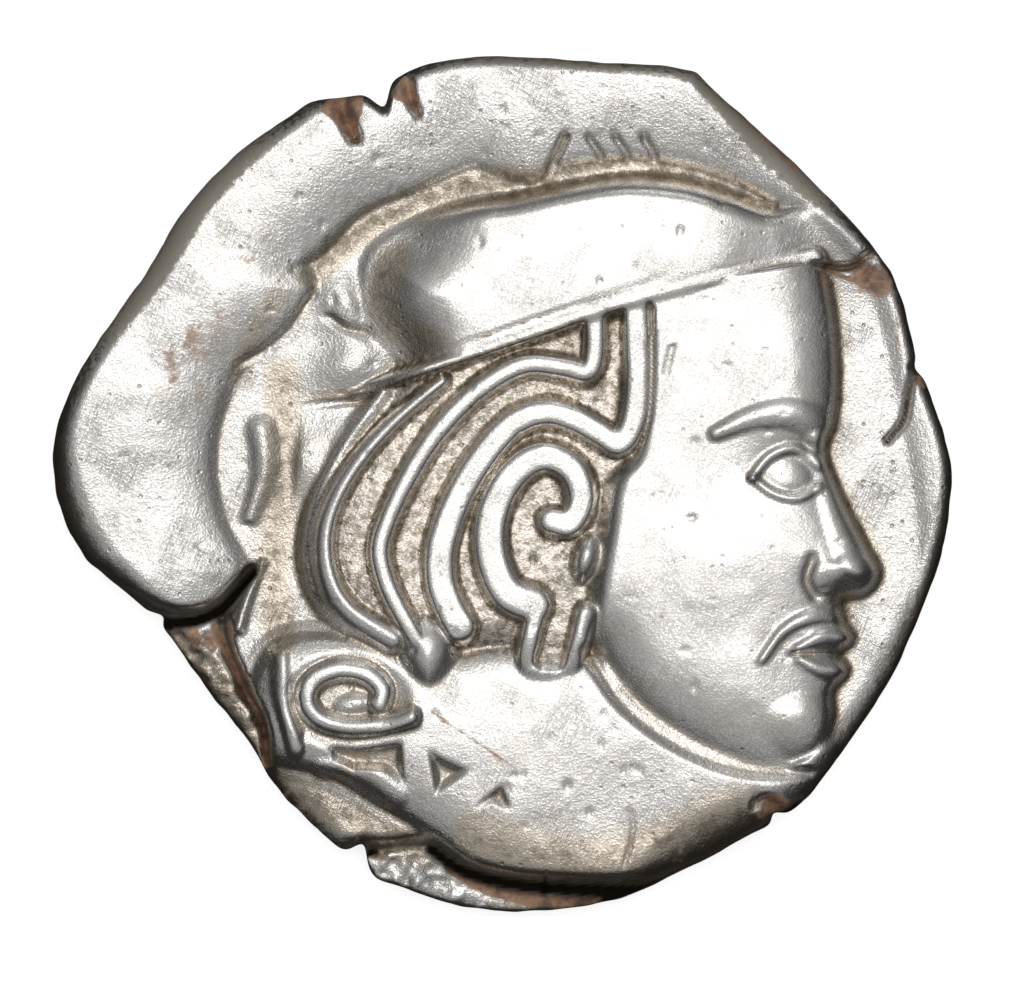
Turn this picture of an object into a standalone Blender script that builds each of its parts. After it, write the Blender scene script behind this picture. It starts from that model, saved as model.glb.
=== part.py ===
"""Ancient silver drachm, struck off-centre on a small hammered flan and lying obverse up.

The drawing of both faces is in hundredths of the flan's width, counted from its middle,
x to the right and y to the top of the obverse. Heights are in hundredths of its thickness,
counted from the plane that the coin rests on.
"""
import math

import bpy
import numpy as np

# Size of the coin, in metres
FLAN_WIDTH = 0.0155
FLAN_THICKNESS = 0.0018

# Levels of the two faces, in hundredths of the thickness, and rises over the field
FIELD_LEVEL = 58.0
BORDER_RISE = 18.0
CAP_RISE = 36.0
BAND_RISE = 34.0
FACE_RISE = 33.0
BUST_RISE = 25.0
BUST_SLUMP = 7.0
HAIR_RISE = 31.0
LOCK_GROOVE = 12.0
LEDGE_LEVEL = 47.0
FLAP_LEVEL = 43.0
RIM_TOP_LEVEL = 40.0
RIM_FOOT_LEVEL = 20.0
REVERSE_FIELD_DEPTH = 9.0
# Smaller steps: where the bust runs out to the left, the recess round the curl behind the
# neck and the curl's rise in it, the dip of the left lobe, the border's rise at the upper
# right, the sinking of the border along the crown and the sides of the torn layers
BUST_LEFT_DROP = 8.0
CURL_RECESS = 7.0
CURL_RISE = 13.0
LOBE_DIP = 4.0
CORNER_RISE = 9.0
CROWN_DROP = 6.0
TORN_DROP = 7.0
TORN_LIP_DROP = 8.0
# Shares by which the border is lower over the head and at the right, and the cap's right end
TOP_BORDER_LOSS = 0.3
RIGHT_BORDER_LOSS = 0.25
CAP_LOSS = 0.46
# How far in each raised part rounds over from its edge, in hundredths of the width; the cap
# is rounder at its left end, and the border has a step at its foot
CAP_ROUND = 2.4
CAP_LEFT_ROUND = 13.0
FACE_ROUND = 13.0
BUST_ROUND = 11.0
HAIR_ROUND = 6.0
BORDER_STEP = 2.2
BORDER_ROUND = 9.0
# Widths of the bands: along the cap, the back, middle and front locks, the ear curl and its
# drop, the curl behind the neck and the arches of the reverse
BAND_WIDTH = 3.4
BACK_LOCK_WIDTH = 2.9
MIDDLE_LOCK_WIDTH = 3.0
FRONT_LOCK_WIDTH = 4.1
EAR_CURL_WIDTH = 4.6
EAR_DROP_WIDTH = 2.4
NECK_CURL_WIDTH = 3.2
ARCH_WIDTH = 3.0
# How full the section of a lock is: 2 is a parabola, more is flatter on top
LOCK_FULLNESS = 3.0
# Width over which one surface runs into the next, the same for the bust's softer edge and
# for the temple, and how far off an edge still counts
SOFT_EDGE = 1.4
BUST_SOFT_EDGE = 3.0
TEMPLE_SOFT_EDGE = 3.0
REACH = 60.0
# Strokes of the worn inscription: places across the obverse's border; on the reverse their
# number, the radius of their ring, and the half length and shift outwards of each in turn
STROKE_MIDDLES = (10.4, 13.4, 16.4)
STROKE_COUNT = 22
STROKE_RADIUS = 31.0
STROKE_KINDS = ((2.8, 0.0), (1.7, 0.9), (2.2, -0.5))
# Middle and radii of the reverse's ring
RING_CENTRE = (3.0, -2.0)
RING_RADII = (38.0, 36.5)

# Outline of the flan, clockwise from the right
OUTLINE = (
    (50.0, 0.0), (48.6, -8.7), (44.0, -20.1), (38.7, -28.5), (33.4, -35.4), (27.0, -39.4),
    (19.3, -43.4), (11.5, -46.6), (0.0, -47.6), (-9.0, -45.8), (-17.4, -41.2), (-24.8, -34.3),
    (-28.4, -28.6), (-33.1, -22.7), (-38.6, -15.2), (-45.1, -9.4), (-48.9, -4.0), (-50.0, 4.5),
    (-46.7, 13.2), (-39.7, 23.6), (-35.1, 31.0), (-29.0, 37.2), (-21.2, 42.2), (-15.4, 43.6),
    (-8.3, 46.7), (-1.0, 47.6), (10.0, 47.0), (20.0, 46.2), (23.6, 43.8), (35.6, 32.6),
    (43.2, 23.6), (46.3, 13.4), (49.2, 5.4),
)
# Notches and lumps of the edge: bearing in degrees, depth, half width in degrees
EDGE_BITES = (
    (107.5, 2.3, 1.5), (-111.2, 1.9, 1.5), (-50.5, 0.9, 1.0), (-158.8, 0.9, 1.2),
    (15.6, 0.5, 1.2), (-107.5, -0.5, 2.0), (-169.5, -0.35, 1.4), (117.0, -0.3, 2.0),
)
# Width of the rounded shoulder, and where it is wider: bearing, extra, half width in degrees
SHOULDER = 1.5
WIDE_SHOULDERS = (
    (142.0, 1.4, 24.0), (-60.0, 4.0, 14.0), (-172.0, 3.0, 14.0), (-125.0, 2.2, 12.0),
    (-26.0, 1.6, 20.0), (-84.0, 1.8, 8.0),
)


def ease(t):
    """Smooth step from 0 to 1."""
    t = np.clip(t, 0.0, 1.0)
    return t * t * (3.0 - 2.0 * t)


def curve(points, closed=False, steps=6):
    """Smooth curve through a few points."""
    p = np.array(points, float)
    if closed:
        p = np.vstack([p[-1], p, p[0], p[1]])
    else:
        p = np.vstack([2 * p[0] - p[1], p, 2 * p[-1] - p[-2]])
    t = np.linspace(0, 1, steps, endpoint=False)[:, None]
    spans = []
    for a, b, c, d in zip(p[:-3], p[1:-2], p[2:-1], p[3:]):
        bend = (2 * a - 5 * b + 4 * c - d) * t**2 + (3 * b - a - 3 * c + d) * t**3
        spans.append(0.5 * (2 * b + (c - a) * t + bend))
    out = np.vstack(spans)
    return np.vstack([out, out[:1]]) if closed else np.vstack([out, p[-2]])


def nearest(x, y, line, reach):
    """Distance to a line, held to reach, and the share along it where it is nearest."""
    dist = np.full(x.shape, float(reach))
    share = np.zeros(x.shape)
    low, high = line.min(0) - reach, line.max(0) + reach
    near = np.flatnonzero((x > low[0]) & (x < high[0]) & (y > low[1]) & (y < high[1]))
    start, step = line[:-1], np.diff(line, axis=0)
    run = np.concatenate([[0.0], np.cumsum(np.hypot(step[:, 0], step[:, 1]))])
    for block in np.array_split(near, max(1, len(near) * len(start) // 2_000_000)):
        px, py = x[block][:, None] - start[:, 0], y[block][:, None] - start[:, 1]
        t = np.clip((px * step[:, 0] + py * step[:, 1]) / (step**2).sum(1), 0, 1)
        d = np.hypot(px - t * step[:, 0], py - t * step[:, 1])
        best = d.argmin(1)
        rows = np.arange(len(block))
        dist[block] = np.minimum(d[rows, best], reach)
        share[block] = (run[best] + t[rows, best] * (run[best + 1] - run[best])) / run[-1]
    return dist, share


def inside(x, y, loop):
    """True where a point lies in a closed loop."""
    found = np.zeros(x.shape, bool)
    for (ax, ay), (bx, by) in zip(loop, np.roll(loop, -1, axis=0)):
        lean = (bx - ax) / (by - ay) if by != ay else 0.0
        found ^= ((ay > y) != (by > y)) & (x < ax + (y - ay) * lean)
    return found


def depth(x, y, loop, reach):
    """Distance to a closed loop, positive inside it."""
    dist, _ = nearest(x, y, loop, reach)
    return np.where(inside(x, y, loop), dist, -dist)


def blend(base, over, cover):
    """Level going from one surface to another with its cover, from 0 to 1."""
    return base + (over - base) * cover


def pillow(d, width, power=2.2):
    """Rise from 0 at an edge to 1 at a width in from it, rounding over."""
    return 1 - (1 - np.clip(d / width, 0, 1))**power


def between(a, b):
    """Depth between two edges that rounds over in the middle."""
    return 2 * a * b / (a + b + 1e-6)


def strand(x, y, points, width, high=1.0, ends=(1.0, 1.0), power=2.4):
    """Rounded band along a curve, its width going from one share to the other."""
    dist, share = nearest(x, y, curve(points), width)
    half = 0.5 * width * (ends[0] + (ends[1] - ends[0]) * share)
    return high * (1 - np.clip(dist / half, 0, 1)**power)


def groove(x, y, points, width, deep=1.0, ends=(1.0, 1.0)):
    """Soft cut along a curve."""
    dist, share = nearest(x, y, curve(points), width)
    half = 0.5 * width * (ends[0] + (ends[1] - ends[0]) * share)
    return deep * ease(1 - dist / half)


def turned(x, y, centre, radii, turn):
    """Distance from the middle of a turned oval, 1 on its edge."""
    c, s = math.cos(math.radians(turn)), math.sin(math.radians(turn))
    dx, dy = x - centre[0], y - centre[1]
    return np.hypot((dx * c + dy * s) / radii[0], (dy * c - dx * s) / radii[1])


def bead(x, y, centre, radii, turn=0.0, high=1.0):
    """Oval lump with a clear edge."""
    return high * (1 - np.clip(turned(x, y, centre, radii, turn), 0, 1)**2.2)


def swell(x, y, centre, radii, turn=0.0, high=1.0):
    """Oval lump that fades out."""
    return high * np.exp(-turned(x, y, centre, radii, turn)**2)


def hollow(x, y, loop, width, deep):
    """Sunk patch with straight edges and sloping sides."""
    line = np.array(loop + loop[:1], float)
    return deep * ease(depth(x, y, line, width + 1) / width)


def bearing_sum(bearing, features):
    """Sum of smooth bumps round the edge, each a bearing, a size and a half width in degrees."""
    total = np.zeros(bearing.shape)
    for centre, size, half in features:
        off = (np.degrees(bearing) - centre + 180) % 360 - 180
        total += size * np.exp(-(off / half)**2)
    return total


def edge_radius(bearing):
    """Radius of the flan at a bearing, without and with the notches of its edge."""
    loop = curve(OUTLINE, closed=True, steps=8)[:-1]
    angle = np.arctan2(loop[:, 1], loop[:, 0])
    order = np.argsort(angle)
    smooth = np.interp(bearing, angle[order], np.hypot(*loop[order].T), period=math.tau)
    return smooth, smooth - bearing_sum(bearing, EDGE_BITES)


def ripple(x, y, size, seed):
    """Smooth unevenness of about unit range, one lump to each size."""
    table = np.random.default_rng(seed).uniform(-1, 1, (64, 64))
    u, v = x / size, y / size
    i, j = np.floor(u).astype(int), np.floor(v).astype(int)
    fu, fv = ease(u - i), ease(v - j)
    low = table[i % 64, j % 64] * (1 - fu) + table[(i + 1) % 64, j % 64] * fu
    high = table[i % 64, (j + 1) % 64] * (1 - fu) + table[(i + 1) % 64, (j + 1) % 64] * fu
    return low * (1 - fv) + high * fv


# Inner edge of the raised border, left where the die was struck off-centre; it leaves the
# flan at the bottom, where no border shows
DIE_EDGE = (
    (-20.9, 21.2), (-21.6, 24.2), (-19.4, 26.2), (-15.4, 29.9), (-9.4, 32.6), (-3.8, 35.0),
    (-1.4, 34.6), (3.0, 33.2), (6.4, 35.0), (13.0, 36.0), (19.0, 35.6), (25.0, 34.0), (30.0, 31.4),
    (36.0, 28.2), (41.6, 20.4), (44.4, 8.0), (46.4, -4.0), (46.0, -13.0), (43.2, -22.0),
    (40.0, -34.0), (36.0, -60.0), (-40.0, -60.0), (-38.0, -24.0), (-30.6, -14.0), (-28.4, -9.6),
    (-30.6, -4.0), (-31.6, 4.1), (-30.4, 10.0), (-28.6, 13.4), (-26.5, 14.8), (-23.7, 17.2),
)
# Grooves along its foot: line, width, depth and how wide each end is
FOOT_GROOVES = (
    (((-23.2, 23.8), (-19.6, 25.4), (-15.6, 29.6), (-9.4, 32.2), (-3.8, 34.6), (-1.4, 34.2),
      (3.0, 33.0), (6.4, 34.6)), 2.0, 2.5, (0.5, 0.9)),
    (((6.0, 34.2), (13.0, 35.2), (19.0, 35.0), (25.0, 33.3), (30.4, 30.8)), 3.2, 7.0, (1.0, 0.4)),
    (((-20.9, 21.2), (-23.7, 17.2), (-26.5, 14.8), (-29.3, 13.2)), 1.6, 5.0, (0.8, 0.6)),
)
# Soft knot and ties behind the head: middle, radii, turn and height; folds: line, width, depth
KNOT = (
    ((-18.1, 20.6), (2.4, 2.8), 20.0, 9.0), ((-16.9, 13.4), (3.4, 2.6), 20.0, 10.0),
    ((-17.3, 5.4), (2.4, 2.4), 0.0, 8.0), ((-21.5, 2.3), (2.0, 3.0), 0.0, 8.0),
)
FOLDS = (
    (((-23.7, 8.4), (-15.1, 9.4), (-9.6, 10.7)), 1.4, 6.0),
    (((-19.4, 18.6), (-17.4, 17.2), (-14.4, 16.6)), 1.8, 5.0),
)

# Soft cap: its crown, its lower edge and the band under it; at the right it runs out into
# the border
CROWN = (
    (-12.0, 13.7), (-15.4, 17.4), (-15.9, 22.2), (-14.6, 26.2), (-10.2, 29.0), (-4.4, 31.0),
    (1.2, 31.8), (6.7, 33.0), (13.1, 34.0), (19.8, 33.6), (25.4, 32.0), (30.0, 30.4), (34.0, 31.6),
    (38.6, 33.6),
)
CAP_EDGE = (
    (44.0, 26.4), (38.0, 24.4), (34.4, 24.8), (26.0, 23.6), (18.0, 21.6), (10.6, 19.4), (4.0, 16.9),
    (-3.6, 14.3), (-12.0, 12.0),
)
BAND = (
    (-16.6, 10.0), (-10.0, 12.2), (-3.6, 14.3), (4.0, 16.9), (10.6, 19.2), (18.0, 21.4), (26.0, 23.4),
    (34.4, 25.0),
)

# Hair below the cap: back outline, three long locks, the curl over the ear and its drop
NAPE = (
    (-14.0, 10.6), (-18.6, 4.0), (-21.8, -3.0), (-22.4, -9.4), (-20.2, -14.4), (-15.6, -18.6),
    (-11.4, -21.6), (-8.1, -25.4), (-5.0, -21.4), (-1.0, -20.4), (3.4, -22.8), (9.0, -21.6),
)
BACK_LOCK = (
    (-6.6, 11.4), (-12.4, 6.6), (-17.0, 1.2), (-19.6, -4.4), (-19.6, -9.6), (-17.4, -14.0), (-12.4, -17.4),
)
MIDDLE_LOCK = (
    (10.2, 18.1), (10.2, 14.5), (9.4, 12.4), (6.6, 12.9), (2.6, 13.2), (-1.2, 11.4), (-4.6, 8.6),
    (-7.9, 4.8), (-10.5, 0.6), (-12.6, -3.8), (-13.6, -7.4), (-12.7, -11.3), (-10.7, -15.3), (-8.6, -19.0),
)
FRONT_LOCK = (
    (14.6, 19.6), (14.7, 9.0), (13.1, 4.6), (10.6, 5.7), (7.8, 7.2), (4.7, 7.9), (1.4, 6.8),
    (-1.5, 3.9), (-4.0, 0.2), (-5.8, -3.6), (-6.9, -7.4), (-6.8, -11.0), (-5.7, -14.0), (-4.7, -15.8),
)
EAR_CURL = (
    (3.4, -13.4), (0.6, -12.1), (-1.0, -9.0), (-1.4, -5.0), (-0.2, -1.0), (2.2, 2.0), (5.0, 3.0),
    (7.8, 1.4), (8.7, -1.8), (7.4, -4.3), (5.4, -4.1),
)
EAR_DROP = (
    (4.0, -13.8), (3.1, -16.8), (2.6, -20.2), (4.9, -21.3), (7.2, -21.0), (8.3, -18.0), (9.2, -14.4),
)

# Bust: its shoulder line above and its cut edge below
SHOULDER_LINE = (
    (-28.9, -30.6), (-28.4, -22.0), (-24.4, -16.8), (-15.0, -16.6), (-8.0, -18.6), (4.0, -17.0),
    (20.0, -20.0), (34.0, -27.0), (41.0, -29.0),
)
BUST_EDGE = (
    (-28.9, -30.6), (-24.2, -31.5), (-19.2, -32.7), (-16.7, -34.1), (-13.7, -36.0), (-10.6, -37.8),
    (-7.7, -39.9), (-5.6, -42.4), (-0.3, -45.0), (6.0, -47.0), (14.0, -47.4), (26.0, -44.0),
    (36.0, -38.0), (42.0, -30.0),
)
NECK_CURL = (
    (-13.6, -24.4), (-13.4, -22.6), (-15.2, -21.0), (-18.2, -20.6), (-20.9, -21.8), (-21.7, -24.0),
    (-20.4, -26.0), (-17.6, -26.9), (-14.2, -26.8), (-10.2, -25.8),
)
# Thin folds beside the curl and under it: line, width and height
BUST_FOLDS = (
    (((-24.7, -19.1), (-24.5, -23.1), (-23.7, -26.3), (-22.9, -29.4)), 1.9, 6.0),
    (((-20.0, -31.6), (-15.4, -32.0), (-11.6, -34.6)), 2.6, 3.0),
)
# Small hollows of the dress: corners, width of the slope and depth
DRESS_HOLLOWS = (
    (((-8.5, -29.3), (-3.2, -31.8), (-7.6, -34.8)), 1.2, 7.0),
    (((-3.6, -36.1), (0.1, -33.5), (0.8, -36.0), (-1.2, -35.0)), 0.9, 6.0),
    (((-19.9, -28.7), (-16.2, -28.9), (-11.0, -28.4), (-10.6, -33.6), (-13.4, -31.8), (-16.6, -32.0),
      (-19.0, -30.6)), 1.1, 7.0),
)

# Face of a plain classical type: thirds of equal height from the band to the chin
PROFILE = (
    (35.4, 25.0), (36.6, 18.5), (37.0, 11.5), (36.6, 7.0), (35.6, 3.6), (37.4, -1.5), (40.2, -7.0),
    (41.6, -9.8), (40.3, -12.0), (37.4, -12.8), (37.7, -15.2), (38.6, -17.2), (37.2, -18.9),
    (38.0, -20.8), (36.4, -23.0), (36.4, -26.0), (35.0, -29.2), (31.6, -31.4),
)
JAW = ((31.6, -31.4), (26.5, -30.9), (20.0, -28.2), (14.2, -23.8), (10.4, -18.0))
UNDER_JAW = ((34.0, -32.0), (26.6, -31.6), (19.6, -28.9), (13.6, -24.4), (9.6, -18.6))
TEMPLE = ((9.4, -24.0), (10.4, -12.0), (11.4, -6.0), (12.4, 0.0), (16.0, 5.0), (16.4, 22.0))


def face_rise(x, y):
    """Rise of the face over the field, and how far it covers what lies under it."""
    front, jaw = curve(PROFILE), curve(JAW)
    loop = np.vstack([front, jaw[1:], [(2, -12), (2, 20.5)], front[:1]])
    ahead, below = nearest(x, y, front, REACH)[0], nearest(x, y, jaw, REACH)[0]
    rise = FACE_RISE * (0.4 + 0.6 * pillow(between(ahead, below), FACE_ROUND, 2.4))
    # brow over the hollow of the eye
    rise -= swell(x, y, (31.4, 1.6), (4.6, 3.2), 0, 6.0)
    rise += strand(x, y, ((23.6, 5.6), (28.0, 7.4), (32.4, 7.6), (36.2, 5.4)), 4.8, 4.2, (0.4, 1.0), 2.0)
    # cheek, and the fold between it and the mouth
    rise += swell(x, y, (25.0, -8.5), (8.0, 6.5), 30, 4.0)
    rise -= swell(x, y, (31.0, -18.5), (2.8, 6.0), 12, 2.4)
    # nose, its tip and wing
    rise += strand(x, y, ((35.0, 4.6), (37.0, -2.5), (39.3, -8.4)), 4.8, 4.6, (0.6, 1.0), 2.0)
    rise += bead(x, y, (38.9, -9.6), (2.7, 2.2), 0, 3.2)
    rise += bead(x, y, (36.0, -10.4), (2.1, 2.1), 20, 4.0)
    rise -= groove(x, y, ((34.3, -8.2), (33.6, -10.6), (34.6, -12.6)), 1.8, 3.6)
    # lips and the line between them
    rise += strand(x, y, ((32.6, -18.2), (35.4, -17.1), (38.4, -16.9)), 2.8, 3.6, (0.4, 1.0))
    rise += strand(x, y, ((32.8, -19.4), (35.4, -20.6), (37.6, -20.8)), 2.8, 3.6, (0.4, 1.0))
    rise -= groove(x, y, ((32.0, -18.9), (35.2, -18.8), (38.6, -19.0)), 1.3, 4.6, (0.6, 1.0))
    # drooping moustache
    rise += strand(x, y, ((38.0, -14.4), (34.6, -14.6), (31.2, -16.2), (28.6, -19.6)), 2.4, 3.6, (1.0, 0.4))
    # chin
    rise += bead(x, y, (33.4, -26.8), (4.4, 3.8), 0, 3.6)
    # eyeball between its lids
    rise += bead(x, y, (31.8, 1.2), (3.1, 2.1), 0, 5.0)
    rise += strand(x, y, ((27.6, 0.7), (29.6, 3.0), (32.4, 3.8), (35.0, 2.2)), 1.7, 4.6, (0.7, 1.0))
    rise += strand(x, y, ((27.6, 0.7), (30.0, -1.0), (32.6, -1.5), (34.8, -0.4)), 1.5, 4.0, (0.7, 1.0))
    # the temple runs softly into the hair
    temple = curve(TEMPLE)
    behind = np.interp(y, temple[:, 1], temple[:, 0]) - x
    cover = ease(0.5 + depth(x, y, loop, 3) / SOFT_EDGE) * ease(0.5 - behind / TEMPLE_SOFT_EDGE)
    return rise, cover


def hair_level(x, y, z):
    """Level with the locks raised over the grooves between them."""
    nape = curve(NAPE)
    loop = np.vstack([nape, [(14, -18), (17, 4), (16.2, 20.5)], curve(BAND)[::-1], nape[:1]])
    dist, _ = nearest(x, y, nape, 10)
    dome = FIELD_LEVEL + HAIR_RISE * (0.3 + 0.7 * pillow(dist, HAIR_ROUND))
    low = dome - LOCK_GROOVE * ease((dist - 0.4) / 2.0)
    level = blend(z, np.maximum(low, z), ease(0.5 + depth(x, y, loop, 3) / SOFT_EDGE))
    locks = np.maximum.reduce([
        strand(x, y, BACK_LOCK, BACK_LOCK_WIDTH, 1.0, (0.6, 1.2), LOCK_FULLNESS),
        strand(x, y, MIDDLE_LOCK, MIDDLE_LOCK_WIDTH, 1.0, (1.0, 0.9), LOCK_FULLNESS),
        strand(x, y, FRONT_LOCK, FRONT_LOCK_WIDTH, 1.0, (0.72, 1.04), LOCK_FULLNESS),
        strand(x, y, EAR_CURL, EAR_CURL_WIDTH, 1.0, (1.0, 0.76), LOCK_FULLNESS),
        strand(x, y, EAR_DROP, EAR_DROP_WIDTH, 1.0, (1.0, 1.0), LOCK_FULLNESS),
        bead(x, y, (9.2, -8.2), (2.9, 1.6), 75, 1.02),
        bead(x, y, (-8.3, -19.4), (3.8, 5.0), 14, 1.1),
    ])
    crest = FIELD_LEVEL + HAIR_RISE * (0.65 + 0.4 * pillow(dist, HAIR_ROUND))
    return np.where(locks > 0, np.maximum(level, low + (crest - low) * locks), level)


def bust_level(x, y, z):
    """Neck and bust with the curl behind the neck and the small hollows of the dress."""
    above, below = curve(SHOULDER_LINE), curve(BUST_EDGE)
    loop = np.vstack([above, below[::-1]])
    deep = between(nearest(x, y, above, REACH)[0], nearest(x, y, below, REACH)[0])
    level = FIELD_LEVEL + BUST_RISE * (0.4 + 0.6 * pillow(deep, BUST_ROUND, 2.4))
    # its left side runs out towards the split, and it slopes down to its cut edge
    level -= BUST_LEFT_DROP * (1 - ease((x + 29) / 6)) + BUST_SLUMP * ease((-y - 26) / 18)
    cover = ease(0.5 + depth(x, y, loop, 5) / BUST_SOFT_EDGE)
    level = blend(z, np.maximum(level, z), cover)
    level -= groove(x, y, BUST_EDGE[:7], 2.6, 3.0, (0.8, 1.0))
    # curl behind the neck in its shallow recess, with a lump in it
    recess = turned(x, y, (-17.2, -24.1), (6.8, 5.2), 0)
    level -= CURL_RECESS * (1 - ease((recess - 0.8) / 0.3))
    level += strand(x, y, NECK_CURL, NECK_CURL_WIDTH, CURL_RISE, (0.9, 0.8), LOCK_FULLNESS)
    level += bead(x, y, (-16.6, -24.4), (2.4, 1.3), 10, 5.0)
    for line, width, high in BUST_FOLDS:
        level += strand(x, y, line, width, high)
    for corners, slope, sunk in DRESS_HOLLOWS:
        level -= hollow(x, y, corners, slope, sunk)
    return level


def border_level(x, y):
    """Field, and the border that rises round it, with the traces struck on its slope."""
    die = depth(x, y, curve(DIE_EDGE, closed=True, steps=4), 10)
    loss = TOP_BORDER_LOSS * ease((x + 22) / 14) + RIGHT_BORDER_LOSS * ease((x - 34) / 8)
    rise = BORDER_RISE * (1 - loss)
    step, slope = pillow(0.6 - die, BORDER_STEP, 2.0), pillow(-die, BORDER_ROUND, 2.0)
    level = FIELD_LEVEL + rise * (0.3 * step + 0.7 * slope)
    # it rises to meet the cap at the upper right
    level += swell(x, y, (36.5, 29.4), (6.5, 5.0), -40, CORNER_RISE)
    for line, width, sunk, ends in FOOT_GROOVES:
        level -= groove(x, y, line, width, sunk, ends)
    # the left lobe dips towards its edge
    level -= swell(x, y, (-43.0, -6.0), (10.0, 9.0), 40, LOBE_DIP)
    for centre, radii, turn, high in KNOT:
        level += swell(x, y, centre, radii, turn, high)
    for line, width, sunk in FOLDS:
        level -= groove(x, y, line, width, sunk, (0.6, 1.0))
    # crescent stroke left of the head
    level += strand(x, y, ((-26.9, 5.9), (-26.6, 1.4), (-28.1, -3.6)), 1.8, 6.0, (0.8, 0.8))
    level -= swell(x, y, (-29.2, 1.4), (1.7, 4.6), 0, 7.0)
    level -= groove(x, y, ((-25.2, 10.0), (-24.6, 3.0), (-25.8, -4.4)), 2.2, 5.0, (0.8, 0.6))
    # thin ridge beside the split
    level += strand(x, y, ((-26.8, -9.2), (-28.4, -12.6), (-29.4, -15.8)), 1.5, 7.0, (0.6, 1.0))
    # worn strokes over the crown, from an inscription
    level -= groove(x, y, ((5.2, 35.4), (6.8, 36.6), (7.0, 38.4)), 1.4, 7.0)
    for middle in STROKE_MIDDLES:
        arc = ((middle - 1.3, 37.9), (middle - 0.5, 36.6), (middle + 1.0, 36.9))
        level -= groove(x, y, arc, 1.1, 4.0)
    return level


def cap_level(x, y, z):
    """Soft cap over the hair, and the band along its lower edge, both fading to the right."""
    crown, low = curve(CROWN), curve(CAP_EDGE)
    from_crown, from_band = nearest(x, y, crown, REACH)[0], nearest(x, y, low, REACH)[0]
    # share of its rise: stepped along the crown, softly sloped at the left end
    dome = 0.34 + 0.56 * pillow(from_crown, CAP_ROUND)
    soft = 0.12 + 0.78 * ease(from_crown / CAP_LEFT_ROUND)
    dome = blend(dome, soft, ease((2 - x) / 14)) + 0.1 * pillow(from_crown, 12.0, 2.0)
    fade = 1 - CAP_LOSS * ease((x - 22) / 13)
    dome = FIELD_LEVEL + fade * CAP_RISE * dome * (0.97 + 0.03 * pillow(from_band, 5.0))
    loop = np.vstack([crown, low, crown[:1]])
    cover = ease(0.5 + depth(x, y, loop, 3) / SOFT_EDGE) * (1 - ease((x - 30) / 8))
    level = blend(z, np.maximum(z - CROWN_DROP * (1 - ease((x - 22) / 8)), dome), cover)
    rise = BAND_RISE * fade * (0.1 + 0.9 * ease((x + 17) / 9))
    return np.maximum(level, FIELD_LEVEL + rise * strand(x, y, BAND, BAND_WIDTH, 1.0, (0.5, 1.0), 4.0))


def obverse_level(x, y):
    """Level of the struck obverse, before its edge is rounded."""
    z = bust_level(x, y, border_level(x, y))
    z = hair_level(x, y, z)
    rise, cover = face_rise(x, y)
    z = blend(z, FIELD_LEVEL + rise, cover)
    z -= groove(x, y, UNDER_JAW, 3.0, 7.0, (0.7, 1.0))
    # torn layers at the lower left and at the bottom, and the cracks between them
    return torn_level(x, y, cap_level(x, y, z))


# Edges of the torn layers: under the left lobe, along the split and at the bottom lip
LOBE_EDGE = (
    (-45.0, -9.6), (-41.0, -12.4), (-37.6, -14.0), (-34.6, -14.4), (-31.8, -13.6), (-29.8, -11.8),
    (-27.8, -9.6),
)
FISSURE = (
    (-31.4, -15.6), (-30.6, -18.7), (-28.6, -23.0), (-27.2, -25.4), (-26.2, -28.0), (-26.0, -31.4),
    (-25.2, -34.6),
)
LIP = (
    (-17.4, -40.4), (-12.5, -40.2), (-8.0, -39.9), (-5.6, -41.4), (-3.4, -42.7), (0.6, -43.7),
    (4.7, -44.1), (11.8, -44.3), (16.8, -44.0), (21.9, -42.2),
)
# Cracks: line, width and depth
CRACKS = (
    (((-31.0, -15.0), (-30.2, -18.7), (-28.2, -23.0), (-26.6, -26.2), (-26.0, -31.0)), 2.0, 15.0),
    (((-18.4, 43.6), (-17.4, 40.6), (-16.4, 38.4)), 3.4, 20.0),
    (((-10.6, 44.6), (-10.2, 42.6), (-9.4, 41.0)), 2.2, 9.0),
    (((41.4, 26.0), (38.4, 24.0), (34.6, 24.4)), 1.6, 12.0),
    (((47.0, 12.4), (45.4, 12.9)), 1.8, 10.0),
    (((44.9, 10.0), (44.3, 7.2), (42.5, 4.5)), 1.2, 9.0),
    (((32.2, -37.4), (29.6, -35.0), (27.8, -35.6)), 2.0, 11.0),
    (((4.6, -45.4), (4.8, -43.4)), 1.2, 9.0),
)
# Unevenness of the torn metal: size and height of each ripple
TORN_RIPPLES = ((2.4, 2.0), (1.2, 1.6))


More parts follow.
